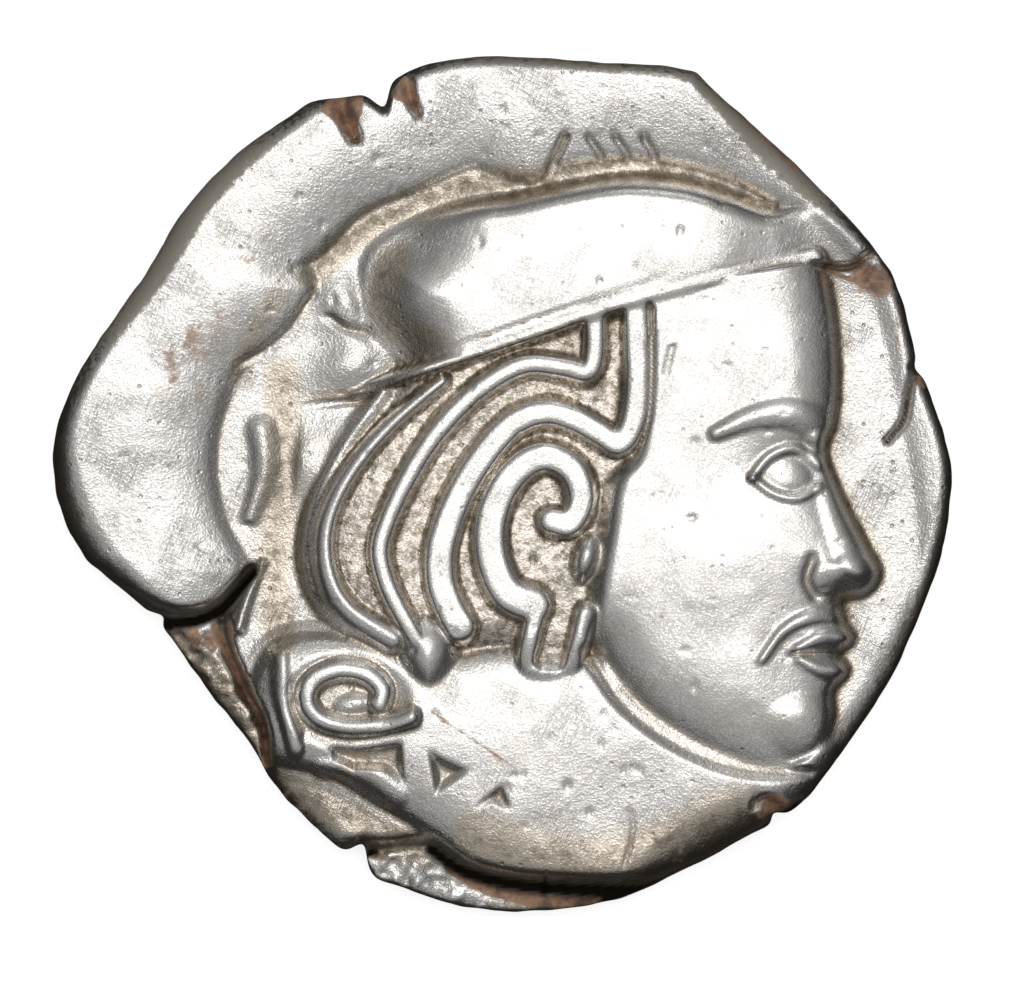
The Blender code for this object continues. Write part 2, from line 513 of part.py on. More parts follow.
def torn_level(x, y, z):
    """Level with the ledge under the left lobe, the flap under the bottom lip and the cracks."""
    lobe, split = curve(LOBE_EDGE), curve(FISSURE)
    ledge = np.vstack([lobe, split, [(-60, -60), (-60, -20)]])
    into = nearest(x, y, np.vstack([lobe, split]), 6)[0]
    rough = sum(high * ripple(x, y, size, 5) for size, high in TORN_RIPPLES)
    low = LEDGE_LEVEL - 4 * ease(into / 5) + 5 * swell(x, y, (-31.5, -19.6), (2.2, 3.2), 30)
    low += rough - TORN_DROP * (1 - ease(into / 1.1))
    cover = ease(0.7 + np.where(inside(x, y, ledge), into, -into) / 0.9)
    off = nearest(x, y, lobe, 4)[0]
    z = blend(z - 6 * (1 - ease(off / 1.6))**2, np.minimum(z, low), cover)
    lip = curve(LIP)
    flap = np.vstack([lip, [(20, -60), (-22, -60)]])
    away = nearest(x, y, lip, 6)[0]
    low = FLAP_LEVEL - TORN_LIP_DROP * (1 - ease(away)) + rough
    cover = ease(0.7 + np.where(inside(x, y, flap), away, -away) / 0.9)
    z = blend(z - TORN_LIP_DROP * (1 - ease(away / 2.0))**2, np.minimum(z, low), cover)
    for line, width, deep in CRACKS:
        z = z - groove(x, y, line, width, deep, (1.0, 0.6))
    return z


def shoulder(bearing, gap, z, limit):
    """Level rounded down to the rim's own level near the edge."""
    width = SHOULDER + bearing_sum(bearing, WIDE_SHOULDERS)
    share = np.sqrt(1 - (1 - np.clip(gap / width, 0, 1))**2)
    return limit + (z - limit) * share


def obverse(x, y):
    """Level of the finished obverse, in hundredths of the thickness."""
    bearing, radius = np.arctan2(y, x), np.hypot(x, y)
    gap = np.maximum(edge_radius(bearing)[1] - radius, 0)
    z = obverse_level(x, y)
    return shoulder(bearing, gap, z, np.minimum(RIM_TOP_LEVEL, z - 2))


def reverse(x, y):
    """Level of the finished reverse: a worn three-arched hill in a ring, under a wide border."""
    bearing, radius = np.arctan2(y, x), np.hypot(x, y)
    gap = np.maximum(edge_radius(bearing)[1] - radius, 0)
    ring = turned(x, y, RING_CENTRE, RING_RADII, 20)
    sunk = REVERSE_FIELD_DEPTH * ease((1.06 - ring) / 0.09)
    raised = np.maximum.reduce([
        arch(x, y, (-6.6, -11.0), 9.6),
        arch(x, y, (12.6, -11.0), 9.6),
        arch(x, y, (3.0, 0.6), 9.0),
        arch(x, y, (3.0, 20.4), 5.4, -1),
        strand(x, y, [(3 + s, -17.6 + 1.5 * math.sin(s / 2.2)) for s in range(-17, 18, 2)], 2.2),
        bead(x, y, (19.0, 14.0), (2.8, 2.8)),
        bead(x, y, (-13.0, 14.0), (2.8, 2.8)),
        worn_strokes(x, y),
    ])
    z = sunk * (1 - np.minimum(raised * 1.3, 1.0))
    return shoulder(bearing, gap, z, np.full(x.shape, RIM_FOOT_LEVEL))


def arch(x, y, foot, radius, way=1):
    """Half ring standing on its foot, or hanging from it."""
    dx, dy = x - foot[0], (y - foot[1]) * way
    off = np.where(dy > 0, np.abs(np.hypot(dx, dy) - radius), np.hypot(np.abs(dx) - radius, dy))
    return 1 - np.clip(2 * off / ARCH_WIDTH, 0, 1)**2.4


def worn_strokes(x, y):
    """Rubbed radial strokes round the hill, of three lengths in turn."""
    raised = np.zeros(x.shape)
    for mark in range(STROKE_COUNT):
        turn = math.tau * mark / STROKE_COUNT
        c, s = math.cos(turn), math.sin(turn)
        across = (x - RING_CENTRE[0]) * c + (y - RING_CENTRE[1]) * s
        along = (y - RING_CENTRE[1]) * c - (x - RING_CENTRE[0]) * s
        half, shift = STROKE_KINDS[mark % len(STROKE_KINDS)]
        past = np.maximum(np.abs(across - STROKE_RADIUS - shift) - half, 0)
        off = np.hypot(past, along)
        raised = np.maximum(raised, 0.75 * (1 - np.clip(off, 0, 1)**2))
    return raised


# Fine grid of each face, and the share of its facets kept in the solid
GRID_COUNT = 156
FACET_LIMIT = 9400
# The rim swells out between its two edges, in hundredths of the width
RIM_SWELL = 0.3
# How sharply the notches of the edge fade out towards the middle
NOTCH_FADE = 9


def disc_grid(count):
    """Square grid laid over a disc: share of the radius and bearing of each crossing."""
    line = np.linspace(-1, 1, count + 1)
    a, b = [v.ravel() for v in np.meshgrid(line, line)]
    share = np.maximum(np.abs(a), np.abs(b))
    wide = np.abs(a) >= np.abs(b)
    safe = np.where(share == 0, 1, share)
    lean = math.pi / 4 * np.where(wide, b, a) / safe
    side = np.where(a >= 0, lean, math.pi - lean)
    top = np.where(b >= 0, math.pi / 2 - lean, lean - math.pi / 2)
    return share, np.where(wide, side, top)


def ring_of(count):
    """Places of the outermost grid crossings, counterclockwise from the lower left."""
    n = count + 1
    low = list(range(n - 1))
    right = [n - 1 + n * k for k in range(n - 1)]
    high = [n * n - 1 - k for k in range(n - 1)]
    left = [n * (n - 1) - n * k for k in range(n - 1)]
    return np.array(low + right + high + left)


def grid_faces(count):
    """Four-cornered faces of a grid, counterclockwise seen from above."""
    n = count + 1
    i, j = [v.ravel() for v in np.meshgrid(np.arange(count), np.arange(count))]
    at = j * n + i
    return np.stack([at, at + 1, at + n + 1, at + n], axis=1)


def flan_points(share, bearing, swell_out=0.0):
    """Place on the flan of each grid crossing."""
    smooth, worn = edge_radius(bearing)
    full = smooth - RIM_SWELL + swell_out
    radius = share * full + (worn - smooth) * share**NOTCH_FADE
    return radius * np.cos(bearing), radius * np.sin(bearing)


def coin_mesh():
    """Closed skin of the coin: two struck faces joined by its rim."""
    share, bearing = disc_grid(GRID_COUNT)
    x, y = flan_points(share, bearing)
    ring = ring_of(GRID_COUNT)
    top = np.stack([x, y, obverse(x, y)], axis=1)
    foot = np.stack([x, y, reverse(x, y)], axis=1)
    edge_x, edge_y = flan_points(share[ring], bearing[ring], RIM_SWELL)
    middle = 0.5 * (top[ring, 2] + foot[ring, 2])
    belt = np.stack([edge_x, edge_y, middle], axis=1)
    points = np.vstack([top, foot, belt])
    points[:, :2] -= 0.5 * (points[:, :2].min(0) + points[:, :2].max(0))
    points[:, 2] -= points[:, 2].min()
    points[:, 2] *= 100 / points[:, 2].max()
    points *= (FLAN_WIDTH / 100, FLAN_WIDTH / 100, FLAN_THICKNESS / 100)

    faces = grid_faces(GRID_COUNT)
    under = faces[:, ::-1] + len(top)
    upper, lower = ring, ring + len(top)
    waist = np.arange(len(ring)) + 2 * len(top)
    sides = []
    for low, high in ((lower, waist), (waist, upper)):
        sides.append(np.stack([low, np.roll(low, -1), np.roll(high, -1), high], axis=1))
    every = np.vstack([faces, under] + sides)
    mesh = bpy.data.meshes.new("drachm")
    mesh.from_pydata(points.tolist(), [], every.tolist())
    mesh.update()
    return mesh, 2 * len(every)


def worn_silver():
    """Bare worn silver."""
    silver = bpy.data.materials.new("worn_silver")
    silver.use_nodes = True
    shader = silver.node_tree.nodes["Principled BSDF"]
    shader.inputs["Base Color"].default_value = (0.80, 0.79, 0.76, 1.0)
    shader.inputs["Metallic"].default_value = 1.0
    shader.inputs["Roughness"].default_value = 0.38
    return silver


def main():
    """Build the coin as one solid."""
    for thing in list(bpy.data.objects):
        bpy.data.objects.remove(thing, do_unlink=True)
    mesh, triangles = coin_mesh()
    drachm = bpy.data.objects.new("drachm", mesh)
    bpy.context.scene.collection.objects.link(drachm)
    mesh.materials.append(worn_silver())
    facets = drachm.modifiers.new("facets", "DECIMATE")
    facets.ratio = FACET_LIMIT / triangles
    facets.use_collapse_triangulate = True


main()
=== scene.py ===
"""Close view of an ancient silver drachm that lies obverse up on a pale floor.

The coin's drawing is in hundredths of the flan's width, counted from its middle, x to the
right and y to the top of the obverse. Levels are in hundredths of its thickness, counted from
the floor. Everything else is in metres.
"""
from __future__ import annotations

import logging
import math
from dataclasses import dataclass
from enum import Enum
from typing import NamedTuple

import bpy
import numpy as np
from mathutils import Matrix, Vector

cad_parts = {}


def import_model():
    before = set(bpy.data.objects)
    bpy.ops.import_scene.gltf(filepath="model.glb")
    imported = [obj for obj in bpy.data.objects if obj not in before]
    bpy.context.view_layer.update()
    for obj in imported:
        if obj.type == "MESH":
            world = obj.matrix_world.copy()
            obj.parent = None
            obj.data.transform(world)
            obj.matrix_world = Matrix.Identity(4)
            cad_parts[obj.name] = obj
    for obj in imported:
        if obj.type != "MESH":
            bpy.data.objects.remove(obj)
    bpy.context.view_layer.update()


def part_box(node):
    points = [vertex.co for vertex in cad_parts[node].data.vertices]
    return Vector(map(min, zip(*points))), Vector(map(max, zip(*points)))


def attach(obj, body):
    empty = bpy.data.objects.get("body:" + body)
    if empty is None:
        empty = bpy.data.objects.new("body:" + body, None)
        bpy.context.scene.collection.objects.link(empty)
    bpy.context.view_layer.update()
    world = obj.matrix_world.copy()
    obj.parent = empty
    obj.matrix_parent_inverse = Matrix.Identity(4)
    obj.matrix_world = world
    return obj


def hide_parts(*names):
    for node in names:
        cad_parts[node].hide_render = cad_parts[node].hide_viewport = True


LOG = logging.getLogger("drachm")

Array = np.ndarray
Point = tuple[float, float]
Line = tuple[Point, ...]
Colour = tuple[float, float, float, float]
Socket = bpy.types.NodeSocket

# Rows of a table: bumps round the edge are bearing, size and half width; lumps are middle, radii,
# turn and height; cuts are line or corners, width and depth; bands are line, width, height or
# depth, and the share of the width at each end
Bumps = tuple[tuple[float, float, float], ...]
Lumps = tuple[tuple[Point, Point, float, float], ...]
Cuts = tuple[tuple[Line, float, float], ...]
Bands = tuple[tuple[Line, float, float, Point], ...]


class Places(NamedTuple):
    """Places of the drawing, across and up."""

    x: Array
    y: Array


# Width over which one surface runs into the next, and how far off an edge still counts
SOFT_EDGE = 1.4
REACH = 60.0


class Mark(Enum):
    """Names of the marks that the skin carries for its material."""

    HOLLOW = "hollow"
    CREST = "crest"
    WORN = "worn"
    EDGE = "edge"
    # Dust coat, partly dirt and partly painted light on the edge
    DUST_AND_PAINTED_LIGHT = "dust_and_painted_light"
    COPPER = "copper"
    # Painted shadow in the torn gaps and the cracks
    PAINTED_SHADOW = "painted_shadow"
    GAP = "gap"


# Drawing tools


def ease(t: Array) -> Array:
    """Smooth step, 3t^2 - 2t^3 with t held from 0 to 1."""
    t = np.clip(t, 0.0, 1.0)
    return t * t * (3.0 - 2.0 * t)


def curve(points: Line, closed: bool = False, steps: int = 6) -> Array:
    """Smooth curve through a few points: a cubic between each two whose slope at a point is
    half the step between its neighbours.

    Args:
        points: Points of the drawing.
        closed: Whether the curve comes back to its first point.
        steps: Steps between two points.

    Returns:
        Points along the curve, one a row.
    """
    p = np.array(points, float)
    if closed:
        p = np.vstack([p[-1], p, p[0], p[1]])
    else:
        p = np.vstack([2 * p[0] - p[1], p, 2 * p[-1] - p[-2]])
    t = np.linspace(0, 1, steps, endpoint=False)[:, None]
    spans = []
    for a, b, c, d in zip(p[:-3], p[1:-2], p[2:-1], p[3:]):
        bend = (2 * a - 5 * b + 4 * c - d) * t**2 + (3 * b - a - 3 * c + d) * t**3
        spans.append(0.5 * (2 * b + (c - a) * t + bend))
    out = np.vstack(spans)
    return np.vstack([out, out[:1]]) if closed else np.vstack([out, p[-2]])


def nearest(at: Places, line: Array, reach: float) -> tuple[Array, Array]:
    """Distance to a line of straight steps, and how far along it the nearest place is.

    Args:
        at: The places.
        line: Points of the line, one a row.
        reach: Distance that every farther place gets.

    Returns:
        The distance, and the share of the line's length from 0 to 1.
    """
    x, y = at
    dist = np.full(x.shape, float(reach))
    share = np.zeros(x.shape)
    low, high = line.min(0) - reach, line.max(0) + reach
    near = np.flatnonzero((x > low[0]) & (x < high[0]) & (y > low[1]) & (y < high[1]))
    start, step = line[:-1], np.diff(line, axis=0)
    run = np.concatenate([[0.0], np.cumsum(np.hypot(step[:, 0], step[:, 1]))])
    for block in np.array_split(near, max(1, len(near) * len(start) // 2_000_000)):
        px, py = x[block][:, None] - start[:, 0], y[block][:, None] - start[:, 1]
        t = np.clip((px * step[:, 0] + py * step[:, 1]) / (step**2).sum(1), 0, 1)
        d = np.hypot(px - t * step[:, 0], py - t * step[:, 1])
        best = d.argmin(1)
        rows = np.arange(len(block))
        dist[block] = np.minimum(d[rows, best], reach)
        share[block] = (run[best] + t[rows, best] * (run[best + 1] - run[best])) / run[-1]
    return dist, share


def inside(at: Places, loop: Array) -> Array:
    """Whether places lie in a closed loop, by counting the crossings of a line to the left.

    Args:
        at: The places.
        loop: Corners of the loop, one a row.

    Returns:
        True for each place inside.
    """
    x, y = at
    found = np.zeros(x.shape, bool)
    for (ax, ay), (bx, by) in zip(loop, np.roll(loop, -1, axis=0)):
        lean = (bx - ax) / (by - ay) if by != ay else 0.0
        found ^= ((ay > y) != (by > y)) & (x < ax + (y - ay) * lean)
    return found


def depth(at: Places, loop: Array, reach: float) -> Array:
    """Distance to a closed loop, positive inside it and held to reach."""
    dist, _ = nearest(at, loop, reach)
    return np.where(inside(at, loop), dist, -dist)


def pillow(d: Array, width: float, power: float = 2.2) -> Array:
    """Rise from an edge that rounds over, 1 - (1 - d / width)^power, from 0 to 1."""
    return 1 - (1 - np.clip(d / width, 0, 1))**power


def between(a: Array, b: Array) -> Array:
    """Depth between two edges at distances a and b, 2ab / (a + b), without a crease."""
    return 2 * a * b / (a + b + 1e-6)


def blend(base: Array, over: Array, cover: Array) -> Array:
    """Level that goes from a base to what lies over it, by the cover from 0 to 1."""
    return base + (over - base) * cover


def off_curve(at: Places, points: Line, width: float, ends: Point) -> Array:
    """Distance from a curve in shares of its half width, which changes evenly along it.

    Args:
        at: The places.
        points: Points of the curve.
        width: Full width.
        ends: Share of the width at the start and at the end.

    Returns:
        Shares, 0 on the curve and 1 at the side of the band.
    """
    dist, share = nearest(at, curve(points), width)
    return dist / (0.5 * width * (ends[0] + (ends[1] - ends[0]) * share))


def strand(at: Places, points: Line, width: float, high: float = 1.0,
           ends: Point = (1.0, 1.0), power: float = 2.4) -> Array:
    """Rounded band along a curve, high (1 - (distance / half width)^power)."""
    return high * (1 - np.clip(off_curve(at, points, width, ends), 0, 1)**power)


def groove(at: Places, points: Line, width: float, deep: float = 1.0,
           ends: Point = (1.0, 1.0)) -> Array:
    """Cut along a curve with a soft section, as deep as the smooth step from its sides."""
    return deep * ease(1 - off_curve(at, points, width, ends))


def turned(at: Places, centre: Point, radii: Point, turn: float) -> Array:
    """Distance from the middle of a turned oval, in shares of its radius.

    Args:
        at: The places.
        centre: Middle of the oval.
        radii: Its two radii.
        turn: Turn of the first radius, in degrees.

    Returns:
        Shares, 1 on the oval's edge.
    """
    x, y = at
    c, s = math.cos(math.radians(turn)), math.sin(math.radians(turn))
    dx, dy = x - centre[0], y - centre[1]
    return np.hypot((dx * c + dy * s) / radii[0], (dy * c - dx * s) / radii[1])


def bead(at: Places, centre: Point, radii: Point, turn: float = 0.0,
         high: float = 1.0) -> Array:
    """Oval lump with a clear edge, high (1 - r^2.2) with r the share of its radius."""
    return high * (1 - np.clip(turned(at, centre, radii, turn), 0, 1)**2.2)


def swell(at: Places, centre: Point, radii: Point, turn: float = 0.0,
          high: float = 1.0) -> Array:
    """Oval lump that fades out like a bell, high exp(-r^2) with r the share of its radius."""
    return high * np.exp(-turned(at, centre, radii, turn)**2)


def swells(at: Places, rows: Lumps) -> Array:
    """Sum of bell-like lumps, where a negative height is a dip."""
    return sum(swell(at, *row) for row in rows)


def grooves(at: Places, rows: Bands) -> Array:
    """Sum of soft cuts, as a depth."""
    return sum(groove(at, *row) for row in rows)


def hollow(at: Places, loop: Line, width: float, deep: float) -> Array:
    """Sunk patch with straight edges, deep where it is farther in than its slopes."""
    line = np.array(loop + loop[:1], float)
    return deep * ease(depth(at, line, width + 1) / width)


def ripple(at: Places, size: float, seed: int) -> Array:
    """Smooth unevenness: seeded values on a grid, eased from one to the next.

    Args:
        at: The places.
        size: Distance between two values.
        seed: Seed of the values.

    Returns:
        Values from about -1 to 1.
    """
    x, y = at
    table = np.random.default_rng(seed).uniform(-1, 1, (64, 64))
    u, v = x / size, y / size
    i, j = np.floor(u).astype(int), np.floor(v).astype(int)
    fu, fv = ease(u - i), ease(v - j)
    low = table[i % 64, j % 64] * (1 - fu) + table[(i + 1) % 64, j % 64] * fu
    high = table[i % 64, (j + 1) % 64] * (1 - fu) + table[(i + 1) % 64, (j + 1) % 64] * fu
    return low * (1 - fv) + high * fv


def bearing_sum(bearing: Array, features: Bumps) -> Array:
    """Sum of bell-shaped bumps round the edge.

    Args:
        bearing: Bearings in radians.
        features: Bearing, size and half width of each bump, the angles in degrees.

    Returns:
        The sum at each bearing.
    """
    total = np.zeros(bearing.shape)
    for centre, size, half in features:
        off = (np.degrees(bearing) - centre + 180) % 360 - 180
        total += size * np.exp(-(off / half)**2)
    return total


# The coin's parts


@dataclass
class Flan:
    """The hammered blank: its outline, its rounded shoulder and its rim."""

    outline: Line = (
        (50.0, 0.0), (48.6, -8.7), (44.0, -20.1), (38.7, -28.5), (33.4, -35.4), (27.0, -39.4),
        (19.3, -43.4), (11.5, -46.6), (0.0, -47.6), (-9.0, -45.8), (-17.4, -41.2), (-24.8, -34.3),
        (-28.4, -28.6), (-33.1, -22.7), (-38.6, -15.2), (-45.1, -9.4), (-48.9, -4.0), (-50.0, 4.5),
        (-46.7, 13.2), (-39.7, 23.6), (-35.1, 31.0), (-29.0, 37.2), (-21.2, 42.2), (-15.4, 43.6),
        (-8.3, 46.7), (-1.0, 47.6), (10.0, 47.0), (20.0, 46.2), (23.6, 43.8), (35.6, 32.6),
        (43.2, 23.6), (46.3, 13.4), (49.2, 5.4),
    )
    bites: Bumps = (
        (107.5, 2.3, 1.5), (-111.2, 1.9, 1.5), (-50.5, 0.9, 1.0), (-158.8, 0.9, 1.2),
        (15.6, 0.5, 1.2), (-107.5, -0.5, 2.0), (-169.5, -0.35, 1.4), (117.0, -0.3, 2.0),
    )
    shoulder: float = 1.5
    wide_shoulders: Bumps = (
        (142.0, 1.4, 24.0), (-60.0, 4.0, 14.0), (-172.0, 3.0, 14.0), (-125.0, 2.2, 12.0),
        (-26.0, 1.6, 20.0), (-84.0, 1.8, 8.0), (50.0, 1.4, 12.0),
    )
    rim_swell: float = 0.3
    rim_top: float = 40.0
    rim_foot: float = 20.0
    notch_fade: int = 9

    def radius(self, bearing: Array) -> tuple[Array, Array]:
        """Radius of the flan.

        Args:
            bearing: Bearings in radians.

        Returns:
            The radius without and with the notches of the edge.
        """
        loop = curve(self.outline, closed=True, steps=8)[:-1]
        angle = np.arctan2(loop[:, 1], loop[:, 0])
        order = np.argsort(angle)
        smooth = np.interp(bearing, angle[order], np.hypot(loop[order, 0], loop[order, 1]),
                           period=math.tau)
        return smooth, smooth - bearing_sum(bearing, self.bites)

    def place(self, share: Array, bearing: Array, swell_out: float | Array = 0.0) -> Places:
        """Places on the flan: share of the radius, with the notches fading out inwards.

        Args:
            share: Share of the radius.
            bearing: Bearings in radians.
            swell_out: How far the rim stands out there.

        Returns:
            The places.
        """
        smooth, worn = self.radius(bearing)
        radius = share * (smooth - self.rim_swell + swell_out)
        radius = radius + (worn - smooth) * share**self.notch_fade
        return Places(radius * np.cos(bearing), radius * np.sin(bearing))

    def over(self, at: Places) -> tuple[Array, Array]:
        """Distance in from the edge and the share of the shoulder passed.

        Args:
            at: The places.

        Returns:
            The distance, and the share from 0 at the edge to 1.
        """
        bearing = np.arctan2(at.y, at.x)
        gap = np.maximum(self.radius(bearing)[1] - np.hypot(*at), 0)
        return gap, gap / (self.shoulder + bearing_sum(bearing, self.wide_shoulders))

    def round_over(self, at: Places, level: Array, limit: float | Array) -> Array:
        """Rounds a face over to the rim's level, limit, along a quarter of an oval."""
        _, share = self.over(at)
        return limit + (level - limit) * np.sqrt(1 - (1 - np.clip(share, 0, 1))**2)


@dataclass
class Border:
    """The field and the border that the off-centre die left raised."""

    field: float = 58.0
    rise: float = 18.0
    step: float = 2.2
    roundness: float = 9.0
    die_edge: Line = (
        (-20.9, 21.2), (-21.6, 24.2), (-19.4, 26.2), (-15.4, 29.9), (-9.4, 32.6), (-3.8, 35.0),
        (-1.4, 34.6), (3.0, 33.2), (6.4, 35.0), (13.0, 36.0), (19.0, 35.6), (25.0, 34.0),
        (30.0, 31.4), (36.0, 28.2), (41.6, 20.4), (44.4, 8.0), (46.4, -4.0), (46.0, -13.0),
        (43.2, -22.0), (40.0, -34.0), (36.0, -60.0), (-40.0, -60.0), (-38.0, -24.0),
        (-30.6, -14.0), (-28.4, -9.6), (-30.6, -4.0), (-31.6, 4.1), (-30.4, 10.0), (-28.6, 13.4),
        (-26.5, 14.8), (-23.7, 17.2),
    )
    # Lines at the foot of the step, folds of the leaf shapes, trough by the crescent, one stroke
    cuts: Bands = (
        (((-23.2, 23.8), (-19.6, 25.4), (-15.6, 29.6), (-9.4, 32.2), (-3.8, 34.6), (-1.4, 34.2),
          (3.0, 33.0), (6.4, 34.6)), 2.0, 2.5, (0.5, 0.9)),
        (((6.0, 34.2), (13.0, 35.2), (19.0, 35.0), (25.0, 33.3), (30.4, 30.8)), 3.2, 7.0,
         (1.0, 0.15)),
        (((-20.9, 21.2), (-23.7, 17.2), (-26.5, 14.8), (-29.3, 13.2)), 1.6, 5.0, (0.8, 0.6)),
        (((-23.7, 8.4), (-15.1, 9.4), (-9.6, 10.7)), 1.4, 6.0, (0.6, 1.0)),
        (((-19.4, 18.6), (-17.4, 17.2), (-14.4, 16.6)), 1.8, 5.0, (0.6, 1.0)),
        (((-24.0, 9.6), (-23.6, 3.0), (-24.8, -4.4)), 3.6, 3.0, (1.0, 0.6)),
        (((5.4, 35.2), (6.9, 38.4)), 1.5, 6.0, (1.0, 1.0)),
    )
    # The crescent, and the ridge beside the split
    ridges: Bands = (
        (((-26.9, 5.9), (-26.6, 1.4), (-28.1, -3.6)), 5.6, 6.0, (0.9, 0.6)),
        (((-26.6, -8.6), (-28.2, -12.4), (-29.3, -16.0)), 2.2, 7.0, (0.5, 1.0)),
    )
    # Four worn leaf shapes, the raised upper right, and the dips on the lobe and by the crescent
    lumps: Lumps = (
        ((-17.5, 19.8), (3.6, 2.2), -66.0, 7.5), ((-16.8, 13.2), (4.0, 2.9), 20.0, 8.5),
        ((-17.3, 5.4), (2.8, 2.6), 0.0, 6.0), ((-21.3, 2.3), (2.4, 3.2), 0.0, 6.0),
        ((36.5, 29.4), (6.5, 5.0), -40.0, 9.0), ((-43.0, -6.0), (10.0, 9.0), 40.0, -4.0),
        ((-30.2, 1.4), (2.2, 5.4), 0.0, -4.0),
    )
    stroke_middles: tuple[float, ...] = (10.4, 13.4, 16.4)
    stroke_ends: Line = ((-0.9, 38.4), (0.5, 36.4))
    stroke_width: float = 1.2
    stroke_depth: float = 4.0

    def level(self, at: Places) -> Array:
        """Level of the field and border, with leaf shapes, crescent and strokes struck on them.

        Args:
            at: The places.

        Returns:
            The level.
        """
        x = at.x
        die = depth(at, curve(self.die_edge, closed=True, steps=4), 10)
        rise = self.rise * (1 - 0.3 * ease((x + 22) / 14) - 0.25 * ease((x - 34) / 8))
        slope = 0.3 * pillow(0.6 - die, self.step, 2.0) + 0.7 * pillow(-die, self.roundness, 2.0)
        level = self.field + rise * slope + swells(at, self.lumps)
        level += grooves(at, self.ridges) - grooves(at, self.cuts)
        for middle in self.stroke_middles:
            stroke = tuple((middle + across, up) for across, up in self.stroke_ends)
            level -= groove(at, stroke, self.stroke_width, self.stroke_depth)
        return level


@dataclass
class Bust:
    """Neck and bust, the curl behind the neck and the small hollows of the dress."""

    rise: float = 25.0
    roundness: float = 11.0
    edge: float = 3.0
    slump: float = 7.0
    left_fall: float = 8.0
    cut_width: float = 2.6
    cut_depth: float = 1.6
    curl_width: float = 3.2
    curl_height: float = 11.0
    curl_bed: tuple[Point, Point] = ((-17.2, -24.1), (6.9, 5.3))
    curl_bed_depth: float = 6.0
    curl_eye: tuple[Point, Point, float, float] = ((-16.6, -24.4), (2.4, 1.3), 10.0, 5.0)
    shoulder_line: Line = (
        (-28.9, -30.6), (-28.4, -22.0), (-24.4, -16.8), (-15.0, -16.6), (-8.0, -18.6),
        (4.0, -17.0), (20.0, -20.0), (34.0, -27.0), (41.0, -29.0),
    )
    cut_edge: Line = (
        (-28.9, -30.6), (-24.2, -31.5), (-19.2, -32.7), (-16.7, -34.1), (-13.7, -36.0),
        (-10.6, -37.8), (-7.7, -39.9), (-5.6, -42.4), (-0.3, -45.0), (6.0, -47.0), (14.0, -47.4),
        (26.0, -44.0), (36.0, -38.0), (42.0, -30.0),
    )
    neck_curl: Line = (
        (-13.6, -24.4), (-13.4, -22.6), (-15.2, -21.0), (-18.2, -20.6), (-20.9, -21.8),
        (-21.7, -24.0), (-20.4, -26.0), (-17.6, -26.9), (-14.2, -26.8), (-10.2, -25.8),
    )
    ridges: Cuts = (
        (((-24.7, -19.1), (-24.5, -23.1), (-23.7, -26.3), (-22.9, -29.4)), 2.2, 5.0),
        (((-20.0, -31.6), (-15.4, -32.0), (-11.6, -34.6)), 2.6, 3.0),
    )
    hollows: Cuts = (
        (((-8.5, -29.3), (-3.2, -31.8), (-7.6, -34.8)), 1.2, 7.0),
        (((-4.0, -36.5), (0.0, -33.1), (1.1, -36.3), (-1.2, -35.3)), 0.6, 5.0),
        (((-19.9, -28.7), (-16.2, -28.9), (-11.0, -28.4), (-10.6, -33.6), (-13.4, -31.8),
          (-16.6, -32.0), (-19.0, -30.6)), 1.1, 7.0),
    )

    def over(self, at: Places, field: float, under: Array) -> Array:
        """Lays the bust over what is there.

        Args:
            at: The places.
            field: Level of the field.
            under: Level so far.

        Returns:
            The new level.
        """
        x, y = at
        above, below = curve(self.shoulder_line), curve(self.cut_edge)
        loop = np.vstack([above, below[::-1]])
        deep = between(nearest(at, above, REACH)[0], nearest(at, below, REACH)[0])
        level = field + self.rise * (0.4 + 0.6 * pillow(deep, self.roundness, 2.4))
        level -= self.left_fall * (1 - ease((x + 29) / 6)) + self.slump * ease((-y - 26) / 18)
        cover = ease(0.5 + depth(at, loop, 5) / self.edge)
        level = blend(under, np.maximum(level, under), cover)
        level -= groove(at, self.cut_edge[:7], self.cut_width, self.cut_depth, (0.8, 1.0))
        bed = turned(at, *self.curl_bed, 0.0)
        level -= self.curl_bed_depth * (1 - ease((bed - 0.7) / 0.4))
        level += strand(at, self.neck_curl, self.curl_width, self.curl_height, (0.9, 0.8), 3.0)
        level += bead(at, *self.curl_eye)
        level += sum(strand(at, *row) for row in self.ridges)
        return level - sum(hollow(at, *row) for row in self.hollows)


